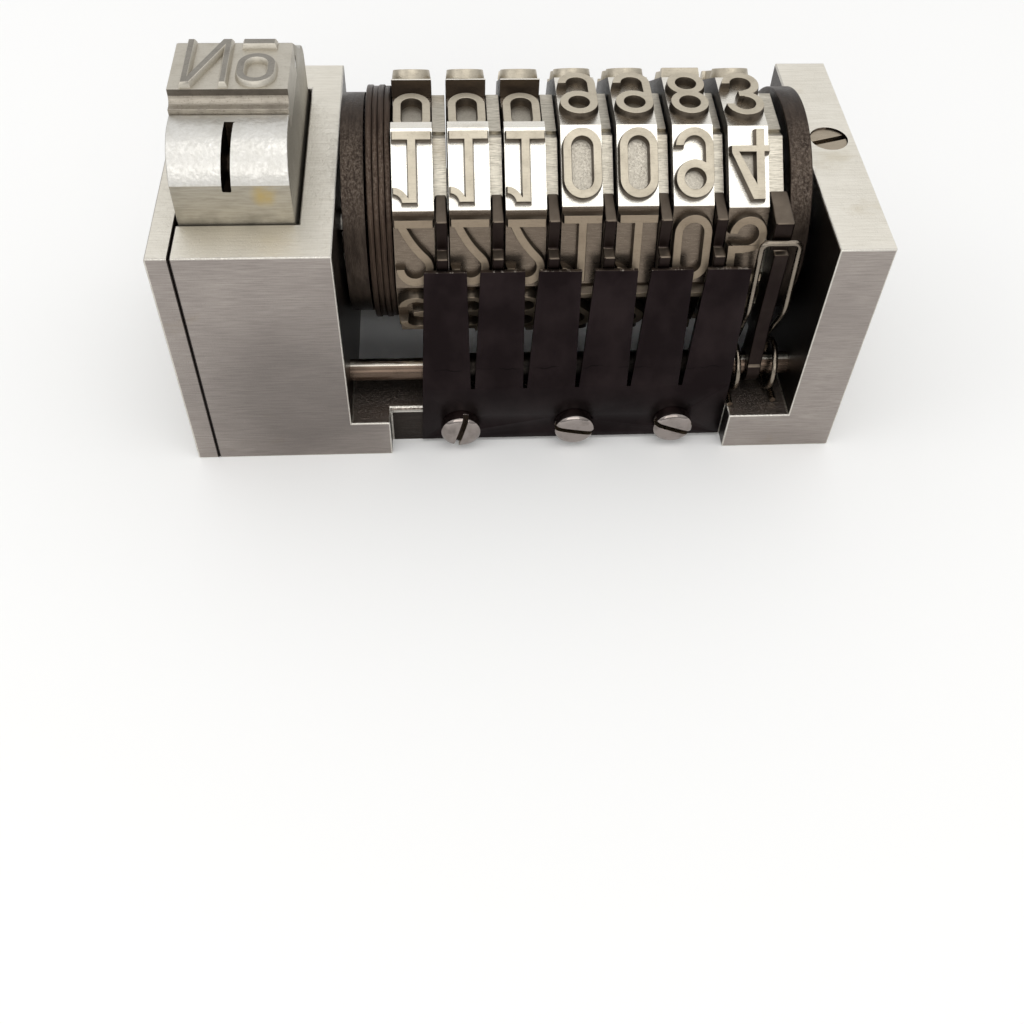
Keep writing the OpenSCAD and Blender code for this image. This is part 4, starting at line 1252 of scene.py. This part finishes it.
@dataclass
class PlungerUnit:
    """Plunger with its slug and return springs. Sizes in mm."""

    edge: float = 0.12
    pin_edge: float = 0.05
    slug_edge: float = 0.07
    rim_share: float = 0.5
    sign_draft: float = 0.16
    sign_relief: float = 0.5
    sign_slope: float = 0.7
    sign_near: float = 0.05
    block_rise: float = 1.1
    block_step: float = 1.0
    fillet: float = 0.55
    fillet_faces: int = 5
    fillet_near: float = 0.12
    saw_x: float = -22.86
    saw_width: float = 0.45
    saw_reach: float = 3.9
    saw_low: float = 5.4

    def build(self) -> None:
        """Builds the plunger, the slug, its pin and the return springs."""
        self.build_plunger()
        self.build_slug()
        Bench.fitted("slug_pin", "slug_pin_bar", "plunger", "bright_steel", [Finish.OXIDE],
                     self.pin_edge)
        for side in ("front", "back"):
            node = f"plunger_spring_{side}"
            spring = Bench.copy_node(node, f"return_spring_{side}")
            Bench.dress(spring, Finish.DRAWN)
            foot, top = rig.box(node)
            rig.blend(spring, "frame", "plunger", start=(0, 0, foot.z), end=(0, 0, top.z))
            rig.slot(spring, "bright_steel")
            log.info("%s is pressed from frame to plunger: %d faces", spring.name,
                     len(spring.data.polygons))

    def build_plunger(self) -> None:
        """Builds the plunger with its rubbed sides and its saw cut, both in painted shade."""
        low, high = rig.box("plunger")

        def side(face: Face) -> Finish | None:
            """Gives a face's finish.

            Args:
                face: the face, before its edges are broken.

            Returns:
                Its finish, or None for the blasted one.
            """
            x, y, z = face.center
            lobe = z > high.z - self.saw_low * MM and y < low.y + self.saw_reach * MM
            if lobe and abs(x - self.saw_x * MM) < self.saw_width * MM:
                return Finish.SLOT_SHADE
            front = face.normal.y < -SQUARE and y < low.y + NEAR
            # The flat front and the sides take the darker alloy: painted shade.
            return Finish.ALLOY_FLAT_SHADE if front or abs(face.normal.x) > SQUARE else None

        plunger = Bench.copy_node("plunger", "plunger_body")
        Bench.dress(plunger, Finish.ALLOY, Finish.SLOT_SHADE, Finish.ALLOY_FLAT_SHADE)
        Bench.paint(plunger, side)
        Bench.round_edges(plunger, self.edge, weight=Bench.broad_edges(plunger, rims=True))
        Bench.deliver(plunger, "plunger", "plunger_metal")

    def build_slug(self) -> None:
        """Slopes the sign's flanks, hollows the corner before the block and rounds the slug."""
        slug = Bench.copy_node("prefix_slug", "prefix_slug_type")
        low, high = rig.box("prefix_slug")
        foot = high.z - (self.sign_relief + self.block_rise) * MM
        front = low.y + self.block_step * MM
        near = self.fillet_near * MM
        drop = self.sign_slope * self.sign_relief * MM

        def in_corner(v: bmesh.types.BMVert) -> bool:
            """Says whether a point lies in the corner before the block."""
            return abs(v.co.z - foot) < near and abs(v.co.y - front) < near

        def on_sign(f: bmesh.types.BMFace) -> bool:
            """Says whether a face is the top of the sign."""
            return f.normal.z > LEVEL and f.calc_center_median().z > high.z - NEAR

        def part(face: Face) -> Finish | None:
            """Gives a face's finish.

            Args:
                face: the face, before its edges are rounded.

            Returns:
                Its finish, or None for the slug's own.
            """
            if face.center.z > high.z - self.sign_near * MM:
                return Finish.SLUG_FACE
            if face.center.y > front + NEAR or abs(face.normal.x) > LEVEL:
                return None
            above = face.center.z > foot + self.fillet * MM - CLOSE
            wall = above and face.normal.y < -LEVEL
            # The block's front wall takes ink and painted shade.
            return Finish.SLUG_INK_AND_SHADE if wall else Finish.SLUG_HOLLOW

        def share(a: Vector, b: Vector) -> float:
            """Gives an edge's share of the rounding.

            Args:
                a: its one end.
                b: its other end.

            Returns:
                All of it on the sign, some on the slug's rims, or none.
            """
            if min(a.z, b.z) > high.z - self.sign_near * MM:
                return 1.0
            rims = ((0, low.x), (0, high.x), (1, front), (1, high.y), (1, low.y), (2, low.z))
            rim = any(max(abs(p[axis] - v) for p in (a, b)) < SAME for axis, v in rims)
            return self.rim_share if rim else 0.0

        with Bench.editing(slug):
            if Bench.select(slug, in_corner, points=True):
                bpy.ops.mesh.bevel(offset=self.fillet * MM, segments=self.fillet_faces,
                                   affect="EDGES")
            Bench.select(slug, on_sign)
            bpy.ops.transform.translate(value=(0, 0, -drop))
            bpy.ops.mesh.inset(thickness=self.sign_draft * MM, depth=drop)
        Bench.dress(slug, Finish.SLUG, Finish.SLUG_FACE, Finish.SLUG_INK_AND_SHADE, Finish.SLUG_HOLLOW)
        Bench.paint(slug, part)
        Bench.round_edges(slug, self.slug_edge, weight=share)
        Bench.deliver(slug, "plunger", "slug_metal")


@dataclass
class NumberRow:
    """Wheels with their digits, drop zeros and ratchets. Sizes in mm."""

    places: Places
    draft: float = 0.1
    slope: float = 0.6
    relief: float = 0.8
    edge: float = 0.04
    ratchet_edge: float = 0.04
    ratchet_angle: float = 10.0
    zero_drop: float = 1.7
    slot_reach: float = 3.3
    slot_floor: float = 6.2
    # Rows painted darker: painted shade.
    shaded_flats: tuple[int, ...] = (2, 3, 4)
    # Rows whose flanks take painted light.
    lit_flanks: tuple[int, ...] = (8, 9)
    counter_reach: float = 1.2
    corner: float = 3.2
    top_near: float = 0.1
    face_near: float = 0.06

    def build(self) -> None:
        """Builds the seven wheels with their ratchets, then the drop zeros."""
        radius = self.places.face_radius
        for i in range(1, WHEELS + 1):
            self.build_digits(f"number_wheel_{i}", f"digit_wheel_{i}", i, range(SIDES), radius)
            # The ratchets' sides take painted shade.
            Bench.fitted(f"ratchet_{i}", f"notched_disc_{i}", f"wheel_{i}", "wheel_steel",
                         [Finish.RATCHET, Finish.STEEL_SHADE], self.ratchet_edge,
                         rule=lambda p: Finish.STEEL_SHADE if abs(p.normal.x) > LEVEL else None,
                         angle=self.ratchet_angle)
        for i in range(1, ZEROS + 1):
            self.build_digits(f"drop_zero_{i}", f"sunk_zero_{i}", i, (0,),
                              radius - self.zero_drop * MM)

    def build_digits(self, node: str, name: str, wheel: int, flats: Iterable[int],
                     radius: float) -> None:
        """Builds one number wheel or drop zero.

        Args:
            node: the CAD node.
            name: the piece's name.
            wheel: the wheel's number.
            flats: the flats that carry a digit.
            radius: distance from the axis to the flats, in metres.
        """
        obj = Bench.copy_node(node, name)
        with Bench.editing(obj):
            for k in flats:
                self.taper(obj, k, wheel, radius)
        Bench.round_edges(obj, self.edge, weight=self.crisp(wheel, radius))
        self.dress_wheel(obj, wheel, radius)
        body = "zero" if radius < self.places.face_radius else "wheel"
        Bench.deliver(obj, f"{body}_{wheel}", "wheel_steel")

    def taper(self, obj: Obj, k: int, wheel: int, radius: float) -> None:
        """Slopes the flanks of the digit on one flat, in edit mode.

        Args:
            obj: the wheel or zero.
            k: the flat's number.
            wheel: the wheel's number.
            radius: distance from the axis to the flat, in metres.
        """
        outward = self.places.outward(k, wheel)
        top = radius + (self.relief - self.top_near) * MM

        def on_digit(f: bmesh.types.BMFace) -> bool:
            """Says whether a face is the top of the digit."""
            over = self.places.height(f.calc_center_median(), k, wheel)
            return f.normal.dot(outward) > SQUARE and over > top

        if Bench.select(obj, on_digit):
            drop = self.slope * MM
            bpy.ops.transform.translate(value=tuple(-drop * outward))
            bpy.ops.mesh.inset(thickness=self.draft * MM, depth=drop)

    def crisp(self, wheel: int, radius: float) -> Share:
        """Gives the rule that rounds the digits' outlines and the corners between flats only.

        Args:
            wheel: the wheel's number.
            radius: distance from the axis to its flats, in metres.

        Returns:
            The rule, which takes the two ends of an edge.
        """
        def share(a: Vector, b: Vector) -> float:
            """Gives an edge's share of the rounding.

            Args:
                a: its one end.
                b: its other end.

            Returns:
                All of it or none.
            """
            k = self.places.flat_of((a + b) / 2, wheel)
            over = min(self.places.height(p, k, wheel) for p in (a, b)) - radius
            out = min(abs(self.places.reach(p, k, wheel)) for p in (a, b))
            corner = out > self.corner * MM and abs(a.x - b.x) > MM
            return 1.0 if corner or over > (self.relief - self.top_near) * MM else 0.0

        return share

    def dress_wheel(self, obj: Obj, wheel: int, radius: float) -> None:
        """Paints flats, digit faces, digit flanks and the walls of a zero's slot, with painted shade on rows 2 to 4,
        on the flanks, on the slot's walls and on the sides, and painted light on the flanks of rows 8 and 9.

        Args:
            obj: the wheel or zero.
            wheel: the wheel's number.
            radius: distance from the axis to its flats, in metres.
        """
        places = self.places
        low = radius + self.face_near * MM
        high = radius + (self.relief - self.face_near) * MM
        slotted = wheel <= ZEROS and radius == places.face_radius
        across = [v.co.x for v in obj.data.vertices]
        middle = (min(across) + max(across)) / 2

        def in_slot(face: Face) -> bool:
            """Says whether a face is a wall of the zero's slot.

            Args:
                face: the face.

            Returns:
                Whether it is.
            """
            if not slotted or abs(places.reach(face.center, 0, wheel)) >= self.slot_reach * MM:
                return False
            wall = face.normal.dot(places.outward(0, wheel)) <= LEVEL
            return wall and self.slot_floor * MM < places.height(face.center, 0, wheel) < radius

        def ground(face: Face, k: int) -> Finish:
            """Gives the finish of a face below the digits.

            Args:
                face: the face.
                k: the flat that it lies over.

            Returns:
                Its finish.
            """
            # The wheels' sides take painted shade.
            if abs(face.normal.x) > LEVEL:
                return Finish.STEEL_SHADE
            # Painted shade on rows 2 to 4.
            if k in self.shaded_flats:
                return Finish.FLAT_SHADE
            level = face.normal.dot(places.outward(k, wheel)) > SQUARE
            apart = max(abs(obj.data.vertices[v].co.x - middle) for v in face.vertices)
            return Finish.COUNTER if level and apart < self.counter_reach * MM else Finish.FLAT

        def region(face: Face) -> Finish:
            """Gives a face's finish.

            Args:
                face: the face.

            Returns:
                Its finish.
            """
            if in_slot(face):
                return Finish.SLOT_WALL_SHADE
            k = places.flat_of(face.center, wheel)
            height = places.height(face.center, k, wheel)
            if height < low:
                return ground(face, k)
            if height > high:
                # Darker digit faces on rows 2 to 4: painted shade.
                return Finish.DIGIT_FACE_SHADE if k in self.shaded_flats else Finish.DIGIT_FACE
            # Painted light on the flanks of rows 8 and 9, painted shade on the others.
            light = k in self.lit_flanks
            return Finish.DIGIT_FLANK_LIT if light else Finish.DIGIT_FLANK_SHADE

        Bench.dress(obj, Finish.FLAT, Finish.DIGIT_FACE, Finish.DIGIT_FLANK_SHADE, Finish.SLOT_WALL_SHADE,
                    Finish.FLAT_SHADE, Finish.COUNTER, Finish.STEEL_SHADE,
                    Finish.DIGIT_FLANK_LIT, Finish.DIGIT_FACE_SHADE)
        Bench.paint(obj, region)


@dataclass
class Swing:
    """Swing arms with the crank pin, the drive pawl and its spring. Sizes in mm."""

    arm_edge: float = 0.1
    pin_edge: float = 0.06
    pawl_edge: float = 0.05

    def build(self) -> None:
        """Builds the swing and dresses its hidden spring."""
        for node, name, slot, finish, edge in (
                ("swing_left_arm", "swing_collar", "black_oxide", Finish.COLLAR, self.arm_edge),
                ("swing_right_arm", "swing_disc", "black_oxide", Finish.COLLAR, self.arm_edge),
                ("crank_pin", "crank_pin_bar", "bright_steel", Finish.DRAWN, self.pin_edge),
                ("drive_pawl_shaft", "drive_shaft", "bright_steel", Finish.DRAWN, self.pin_edge)):
            Bench.fitted(node, name, "swing", slot, [finish], edge)
        Bench.fitted("drive_pawl", "drive_pawl_comb", "drive_pawl", "black_oxide",
                     [Finish.OXIDE, Finish.OXIDE_EDGE], self.pawl_edge,
                     edge_finish=Finish.OXIDE_EDGE)
        Bench.dress(frame["nodes"]["drive_pawl_spring"], Finish.DRAWN)


@dataclass
class PawlRow:
    """The seven retaining pawls. Sizes in mm."""

    edge: float = 0.16
    top_slope: float = 0.5

    def build(self) -> None:
        """Builds each pawl from its CAD node."""
        def worn_and_lit_top(face: Face) -> Finish | None:
            """Brightens the pawl's top: wear and painted light."""
            return Finish.PAWL_TOP if face.normal.z > self.top_slope else None

        for i in range(1, WHEELS + 1):
            Bench.fitted(f"retaining_pawl_{i}", f"pawl_lever_{i}", f"pawl_{i}", "black_oxide",
                         [Finish.PAWL_FRONT, Finish.PAWL_TOP], self.edge, rule=worn_and_lit_top,
                         segments=3)


@dataclass
class CombSpring:
    """Spring plate with six tines and its three screws. Sizes in mm."""

    bend_height: float = 6.95
    tine_end: float = 19.0
    end_slope: float = 0.8
    thickness: float = 0.35
    taper: float = 0.7
    plate_share: float = 0.3
    slit_root: float = 0.35
    slit_top: tuple[float, ...] = (1.12, 1.16, 1.1, 1.1, 1.16)
    slit_skew: tuple[float, ...] = (-0.16, 0.0, 0.0, 0.0, 0.0)
    slit_lean: float = 0.26
    first_slit: float = 4.96
    slit_pitch: float = 4.69
    nudge: tuple[float, ...] = (0.04, -0.03, 0.05, 0.06, -0.04, 0.02)
    edge: float = 0.035
    smooth_to: float = 30.0
    cuts: int = 7
    screw_x: tuple[float, ...] = (3.57, 14.07, 23.27)
    screw_height: float = 2.4
    screw_turns: tuple[float, ...] = (75.0, -11.0, -22.0)
    screw_edge: float = 0.06
    screw_angle: float = 32.0
    hole_play: float = 0.12
    head_radius: float = 1.8
    head_height: float = 1.3
    head_sides: int = 64
    dome: tuple[Range, ...] = ((0.2, 0.18), (0.2, 0.07), (0.4, 0.03), (0.5, 0.01))
    shank_radius: float = 0.95
    shank_length: float = 3.5
    shank_sink: float = 0.1
    screw_slot: Range = (0.5, 0.85)
    slot_reach: float = 0.6
    low: Vector = field(init=False)
    high: Vector = field(init=False)

    def __post_init__(self) -> None:
        """Reads where the comb lies."""
        self.low, self.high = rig.box("comb_spring")

    def build(self) -> None:
        """Builds the plate, the tines and the screws."""
        plate = self.build_plate()
        tines = [self.build_tine(k) for k in range(1, TINES + 1)]
        for piece in (plate, *tines):
            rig.replaces(piece, "comb_spring")
        self.build_screws()

    def build_plate(self) -> Obj:
        """Models the screwed-down part of the spring, with its three holes.

        Returns:
            The plate.
        """
        low, high = self.low, self.high
        back = low.y + self.thickness * MM
        plate = Bench.bar("comb_plate", low, (high.x, back, self.bend_height * MM))
        with Bench.editing(plate):
            Bench.select(plate, lambda v: v.co.x < low.x + NEAR and v.co.z > low.z + MM,
                         points=True)
            bpy.ops.transform.translate(value=(self.plate_share * self.taper * MM, 0, 0))
        for x in self.screw_x:
            place = (low.x + x * MM, low.y, self.screw_height * MM)
            radius = (self.shank_radius + self.hole_play) * MM
            Bench.carve(plate, Bench.rod_along_y("hole", place, radius, 2 * MM))
        Bench.dress(plate, Finish.COMB, Finish.COMB_END)
        self.break_edges(plate)
        return Bench.deliver(plate, "frame", "black_oxide")

    def slit(self, k: int) -> tuple[float, float, float, float]:
        """Finds one slit's edges.

        Args:
            k: the slit's number from the left.

        Returns:
            Its left and right edge at its foot and then at its top, in metres.
        """
        x = self.low.x + (self.first_slit + (k - 1) * self.slit_pitch) * MM
        foot = x - self.slit_lean * MM
        top = x + self.slit_skew[k - 1] * MM
        w0, w1 = self.slit_root * MM / 2, self.slit_top[k - 1] * MM / 2
        return foot - w0, foot + w0, top - w1, top + w1

    def build_tine(self, k: int) -> Obj:
        """Models one tine: a bar leant back and tapered, cut across so that it bends smoothly.

        Args:
            k: the tine's number from the left.

        Returns:
            The tine.
        """
        low, high = self.low, self.high
        z0 = self.bend_height * MM
        left0, left1 = low.x + self.plate_share * self.taper * MM, low.x + self.taper * MM
        right0 = right1 = high.x
        if k > 1:
            _, left0, _, left1 = self.slit(k - 1)
        if k < TINES:
            right0, _, right1, _ = self.slit(k)
        tine = Bench.bar(f"comb_tine_{k}", (left0, low.y, z0),
                         (right0, low.y + self.thickness * MM, high.z))
        lean = high.y - low.y - self.thickness * MM
        nudge = self.nudge[k - 1] * MM
        middle = (left0 + right0) / 2
        with Bench.editing(tine):
            for left, shift, rise in (
                    (True, left1 - left0, nudge), (False, right1 - right0, -nudge)):
                Bench.select(tine, lambda v: v.co.z > z0 + MM and (v.co.x < middle) == left,
                             points=True)
                bpy.ops.transform.translate(value=(shift, lean, min(0.0, rise)))
            for n in range(1, self.cuts):
                bpy.ops.mesh.select_all(action="SELECT")
                bpy.ops.mesh.bisect(plane_co=(0, 0, z0 + (high.z - z0) * n / self.cuts),
                                    plane_no=(0, 0, 1))
        Bench.dress(tine, Finish.COMB, Finish.COMB_END)
        Bench.paint(tine, lambda p: Finish.COMB_END if p.normal.z > self.end_slope else None)
        self.break_edges(tine)
        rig.blend(tine, "frame", f"pawl_{k}", start=(0, 0, z0), end=(0, 0, self.tine_end * MM))
        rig.slot(tine, "black_oxide")
        log.info("%s bends from frame to pawl_%d: %d faces", tine.name, k, len(tine.data.polygons))
        return tine

    def break_edges(self, obj: Obj) -> None:
        """Rounds the sheet's edges, but not those of the bend where plate and tines meet.

        Args:
            obj: the plate or a tine.
        """
        bend = self.bend_height * MM
        weights = obj.data.attributes.new("bevel_weight_edge", "FLOAT", "EDGE")
        for edge in obj.data.edges:
            ends = [obj.data.vertices[v].co for v in edge.vertices]
            at_bend = all(abs(e.z - bend) < CLOSE for e in ends)
            weights.data[edge.index].value = 0.0 if at_bend else 1.0
        Bench.pick_up(obj)
        bevel = obj.modifiers.new("edges", "BEVEL")
        bevel.width = self.edge * MM
        bevel.segments = 2
        bevel.limit_method = "WEIGHT"
        bpy.ops.object.modifier_apply(modifier=bevel.name)
        bpy.ops.object.shade_smooth_by_angle(angle=math.radians(self.smooth_to))

    def build_screws(self) -> None:
        """Models one domed, slotted screw and copies it to the other holes, turned."""
        first = self.build_screw()
        copies = [Bench.placed(f"comb_screw_{i}", first.data.copy())
                  for i in range(2, len(self.screw_x) + 1)]
        for screw in copies:
            screw.data.name = screw.name
        for screw, x, turn in zip((first, *copies), self.screw_x, self.screw_turns):
            screw.location = (self.low.x + x * MM, 0, self.screw_height * MM)
            screw.rotation_euler = (0, -math.radians(turn), 0)
            Bench.settle(screw)
            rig.replaces(screw, "comb_screws")
            Bench.deliver(screw, "frame", "nickel")

    def build_screw(self) -> Obj:
        """Models a screw with its head before the comb and its axis on Y.

        Returns:
            The screw.
        """
        front = self.low.y - self.head_height * MM
        width, depth = (v * MM for v in self.screw_slot)
        middle = self.low.y - self.head_height * MM / 2
        screw = Bench.rod_along_y("comb_screw_1", (0, middle, 0), self.head_radius * MM,
                                  self.head_height * MM, sides=self.head_sides)
        with Bench.editing(screw):
            Bench.select(screw, lambda f: f.normal.y < -LEVEL)
            bpy.ops.transform.translate(value=(0, sum(d for _, d in self.dome) * MM, 0))
            for ring, rise in self.dome:
                bpy.ops.mesh.inset(thickness=ring * MM, depth=rise * MM)
        Bench.carve(screw, Bench.bar("slot", (-0.01, front - 0.001, -width / 2),
                                     (0.01, front + depth, width / 2)))
        inner = self.low.y + self.shank_length * MM / 2 - self.shank_sink * MM
        shank = Bench.rod_along_y("shank", (0, inner, 0), self.shank_radius * MM,
                                  self.shank_length * MM)
        Bench.pick_up(screw)
        shank.select_set(True)
        bpy.ops.object.join()

        def slot_face(face: Face) -> Finish | None:
            """Gives a face's finish.

            Args:
                face: the face, before its edges are rounded.

            Returns:
                Its finish in the screw's slot, or None elsewhere.
            """
            if abs(face.normal.z) > LEVEL and abs(face.center.z) < self.slot_reach * width:
                return Finish.LOCK
            floor = face.normal.y < -LEVEL and abs(face.center.y - front - depth) < CLOSE
            return Finish.SLOT_SHADE if floor else None

        Bench.dress(screw, Finish.NICKEL, Finish.SLOT_SHADE, Finish.LOCK)
        Bench.paint(screw, slot_face)
        Bench.round_edges(screw, self.screw_edge, segments=3, angle=self.screw_angle)
        return screw


@dataclass
class UnitsSpring:
    """Wire spring of the units pawl: two coils on the rod and one upright loop. Sizes in mm."""

    places: Places
    wire: float = 0.27
    wire_faces: int = 4
    coil_length: float = 0.75
    coil_steps: int = 40
    foot_height: float = 4.53
    left: Point = (19.55, 19.78, 1.2)
    right: Point = (23.65, 23.0, 1.65)
    kink: Range = (-1.2, 7.5)
    kink_reach: float = 0.9
    bend: float = 0.6
    bend_steps: int = 6
    run_steps: int = 4
    front_y: float = -13.5
    cross_near: float = 0.4

    def build(self) -> None:
        """Bends the wire along its path and turns it into a mesh."""
        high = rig.box("units_pawl_spring")[1]
        top = (self.top_place(high.z), high.z / MM - self.wire)
        path = self.side(self.left, 1.0, top) + self.side(self.right, -1.0, top)[::-1]
        curve = bpy.data.curves.new("units_wire", "CURVE")
        curve.dimensions = "3D"
        curve.bevel_depth = self.wire * MM
        curve.bevel_resolution = self.wire_faces
        curve.use_fill_caps = True
        spline = curve.splines.new("POLY")
        spline.points.add(len(path) - 1)
        for point, place in zip(spline.points, path):
            point.co = (*(place * MM), 1.0)
        Bench.pick_up(Bench.placed("units_wire", curve))
        bpy.ops.object.convert(target="MESH")
        wire = bpy.context.active_object
        bpy.ops.object.shade_smooth_by_angle(angle=math.radians(Bench.smooth_to))
        Bench.dress(wire, Finish.WIRE)
        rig.replaces(wire, "units_pawl_spring")
        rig.blend(wire, "frame", f"pawl_{WHEELS}", start=(0, 0, self.places.rod[1] + 0.002),
                 end=(0, 0, high.z - 0.001))
        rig.slot(wire, "bright_steel")
        log.info("%s bends from frame to pawl_%d: %d faces", wire.name, WHEELS,
                 len(wire.data.polygons))

    def top_place(self, top: float) -> float:
        """Finds where the CAD wire runs across in front of the pawl's head.

        Args:
            top: height of the wire's top, in metres.

        Returns:
            Its place along Y, in mm.
        """
        rows = [v.co.y for v in frame["nodes"]["units_pawl_spring"].data.vertices
                if v.co.z > top - self.cross_near * MM]
        return (min(rows) + max(rows)) / 2 / MM

    def side(self, x: Point, turn: float, top: Range) -> list[Vector]:
        """Gives the points of one side, from its tip on the foot to the top bend.

        Args:
            x: start of the coil and upright leg along X, and the tip's distance from the front.
            turn: 1 if the coil runs to the right, -1 to the left.
            top: where the wire runs across, along Y and Z.

        Returns:
            The points in mm.
        """
        rod_y, rod_z = (v / MM for v in self.places.rod)
        coil = rod_z - self.foot_height
        quarter = math.pi / 2
        points = [Vector((x[0], x[2] + self.front_y, self.foot_height))]
        leave = (2 * math.pi + math.atan2(self.kink[1], self.kink[0])
                 - math.acos(coil / math.hypot(*self.kink)))
        for part in self.parts(self.coil_steps, first=0):
            a = -quarter + (leave + quarter) * part
            points.append(Vector((x[0] + turn * self.coil_length * part,
                                  rod_y + coil * math.cos(a), rod_z + coil * math.sin(a))))
        kink = Vector((x[1], rod_y + self.kink[0], rod_z + self.kink[1]))
        rise = Vector((x[1], top[0], top[1] - self.bend))
        start = kink + self.kink_reach * (points[-1] - kink).normalized()
        end = kink + self.kink_reach * (rise - kink).normalized()
        last = points[-1]
        points += [last.lerp(start, part) for part in self.parts(self.run_steps)]
        points += [start.lerp(kink, part).lerp(kink.lerp(end, part), part)
                   for part in self.parts(self.bend_steps)]
        points += [end.lerp(rise, part) for part in self.parts(self.run_steps)]
        for part in self.parts(self.bend_steps):
            a = quarter * part
            points.append(rise + self.bend * Vector((turn * (1 - math.cos(a)), 0, math.sin(a))))
        return points

    @staticmethod
    def parts(steps: int, first: int = 1) -> list[float]:
        """Divides a stretch evenly, from 0 or its first step to 1."""
        return [k / steps for k in range(first, steps + 1)]


# Studio


@dataclass(frozen=True)
class Softbox:
    """One rectangular lamp that faces the machine."""

    name: str
    place: Point
    size: Range
    watts: float
    colour: Point = (1.0, 1.0, 1.0)

    def build(self, target: Vector) -> None:
        """Adds the lamp.

        Args:
            target: the place that it faces.
        """
        lamp = bpy.data.lights.new(self.name, "AREA")
        lamp.shape = "RECTANGLE"
        lamp.size, lamp.size_y = self.size
        lamp.energy = self.watts
        lamp.color = self.colour
        obj = Bench.placed(self.name, lamp)
        obj.location = self.place
        obj.rotation_euler = (target - Vector(self.place)).to_track_quat("-Z", "Y").to_euler()


@dataclass
class Studio:
    """Pale floor, soft lamps and the camera. Sizes in metres and degrees."""

    camera_place: Point = (-0.006655, -0.084045, 0.081483)
    camera_turn: Point = (37.923, -1.615, -3.099)
    lens: float = 40.37
    sensor: float = 36.0
    near: float = 0.001
    floor_size: float = 3.0
    floor_colour: Point = (0.9, 0.9, 0.895)
    floor_rough: float = 0.9
    sky_low: float = 0.35
    sky_high: float = 0.93
    sky_full_at: float = 0.45
    target: Point = (0.0, 0.0, 0.015)
    lamps: tuple[Softbox, ...] = (
        Softbox("over_box", (0.05, -0.13, 0.5), (0.36, 0.24), 0.36, (1.0, 0.985, 0.95)),
        Softbox("front_box", (-0.04, -0.6, 0.31), (0.6, 0.26), 0.7, (1.0, 0.985, 0.95)),
        Softbox("left_box", (-0.42, -0.1, 0.3), (0.3, 0.3), 0.25),
    )

    def build(self) -> None:
        """Builds the studio round the machine."""
        self.build_floor()
        self.build_sky()
        for lamp in self.lamps:
            lamp.build(Vector(self.target))
        self.build_camera()

    def build_floor(self) -> None:
        """Lays the floor."""
        bpy.ops.object.select_all(action="DESELECT")
        bpy.ops.mesh.primitive_plane_add(size=self.floor_size, location=(0, 0, 0))
        floor = Bench.added("studio_floor")
        material = bpy.data.materials.new("pale_floor")
        material.use_nodes = True
        surface = material.node_tree.nodes["Principled BSDF"]
        surface.inputs["Base Color"].default_value = (*self.floor_colour, 1.0)
        surface.inputs["Roughness"].default_value = self.floor_rough
        floor.data.materials.append(material)
        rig.stage(floor)

    def build_sky(self) -> None:
        """Sets the soft light from all round, dimmer towards the horizon."""
        world = bpy.data.worlds.new("studio_sky")
        world.use_nodes = True
        tree = world.node_tree
        background = tree.nodes["Background"]
        place = tree.nodes.new("ShaderNodeTexCoord")
        apart = tree.nodes.new("ShaderNodeSeparateXYZ")
        tree.links.new(place.outputs["Generated"], apart.inputs["Vector"])
        rise = tree.nodes.new("ShaderNodeMapRange")
        rise.inputs["From Max"].default_value = self.sky_full_at
        rise.inputs["To Min"].default_value = self.sky_low
        rise.inputs["To Max"].default_value = self.sky_high
        tree.links.new(apart.outputs["Z"], rise.inputs["Value"])
        tree.links.new(rise.outputs["Result"], background.inputs["Strength"])
        background.inputs["Color"].default_value = (1.0, 1.0, 1.0, 1.0)
        bpy.context.scene.world = world

    def build_camera(self) -> None:
        """Places the camera."""
        camera = bpy.data.cameras.new("studio_camera")
        camera.sensor_width = self.sensor
        camera.lens = self.lens
        camera.clip_start = self.near
        obj = Bench.placed("studio_camera", camera)
        obj.location = self.camera_place
        obj.rotation_euler = [math.radians(a) for a in self.camera_turn]
        bpy.context.scene.camera = obj


def write_sizes(paths: Iterable[str] = ("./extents.json",)) -> None:
    """Writes the CAD box and the dressed box, as plain lists.

    Args:
        paths: the files that get them.
    """
    boxes = {"cad": CAD_BOX, "visual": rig.bounds()}
    plain = {name: [[float(v) for v in corner] for corner in box] for name, box in boxes.items()}
    for path in paths:
        with open(path, "w") as file:
            json.dump(plain, file, indent=1)


def main() -> None:
    """Builds the machine and its studio, in order."""
    logging.basicConfig(level=logging.INFO, format="%(message)s")
    places = Places.read()
    Housing().build()
    PlungerUnit().build()
    NumberRow(places).build()
    Swing().build()
    PawlRow().build()
    CombSpring().build()
    UnitsSpring(places).build()
    Studio().build()
    bpy.context.scene.view_settings.view_transform = "Standard"
    write_sizes()


if __name__ == "__main__":
    main()
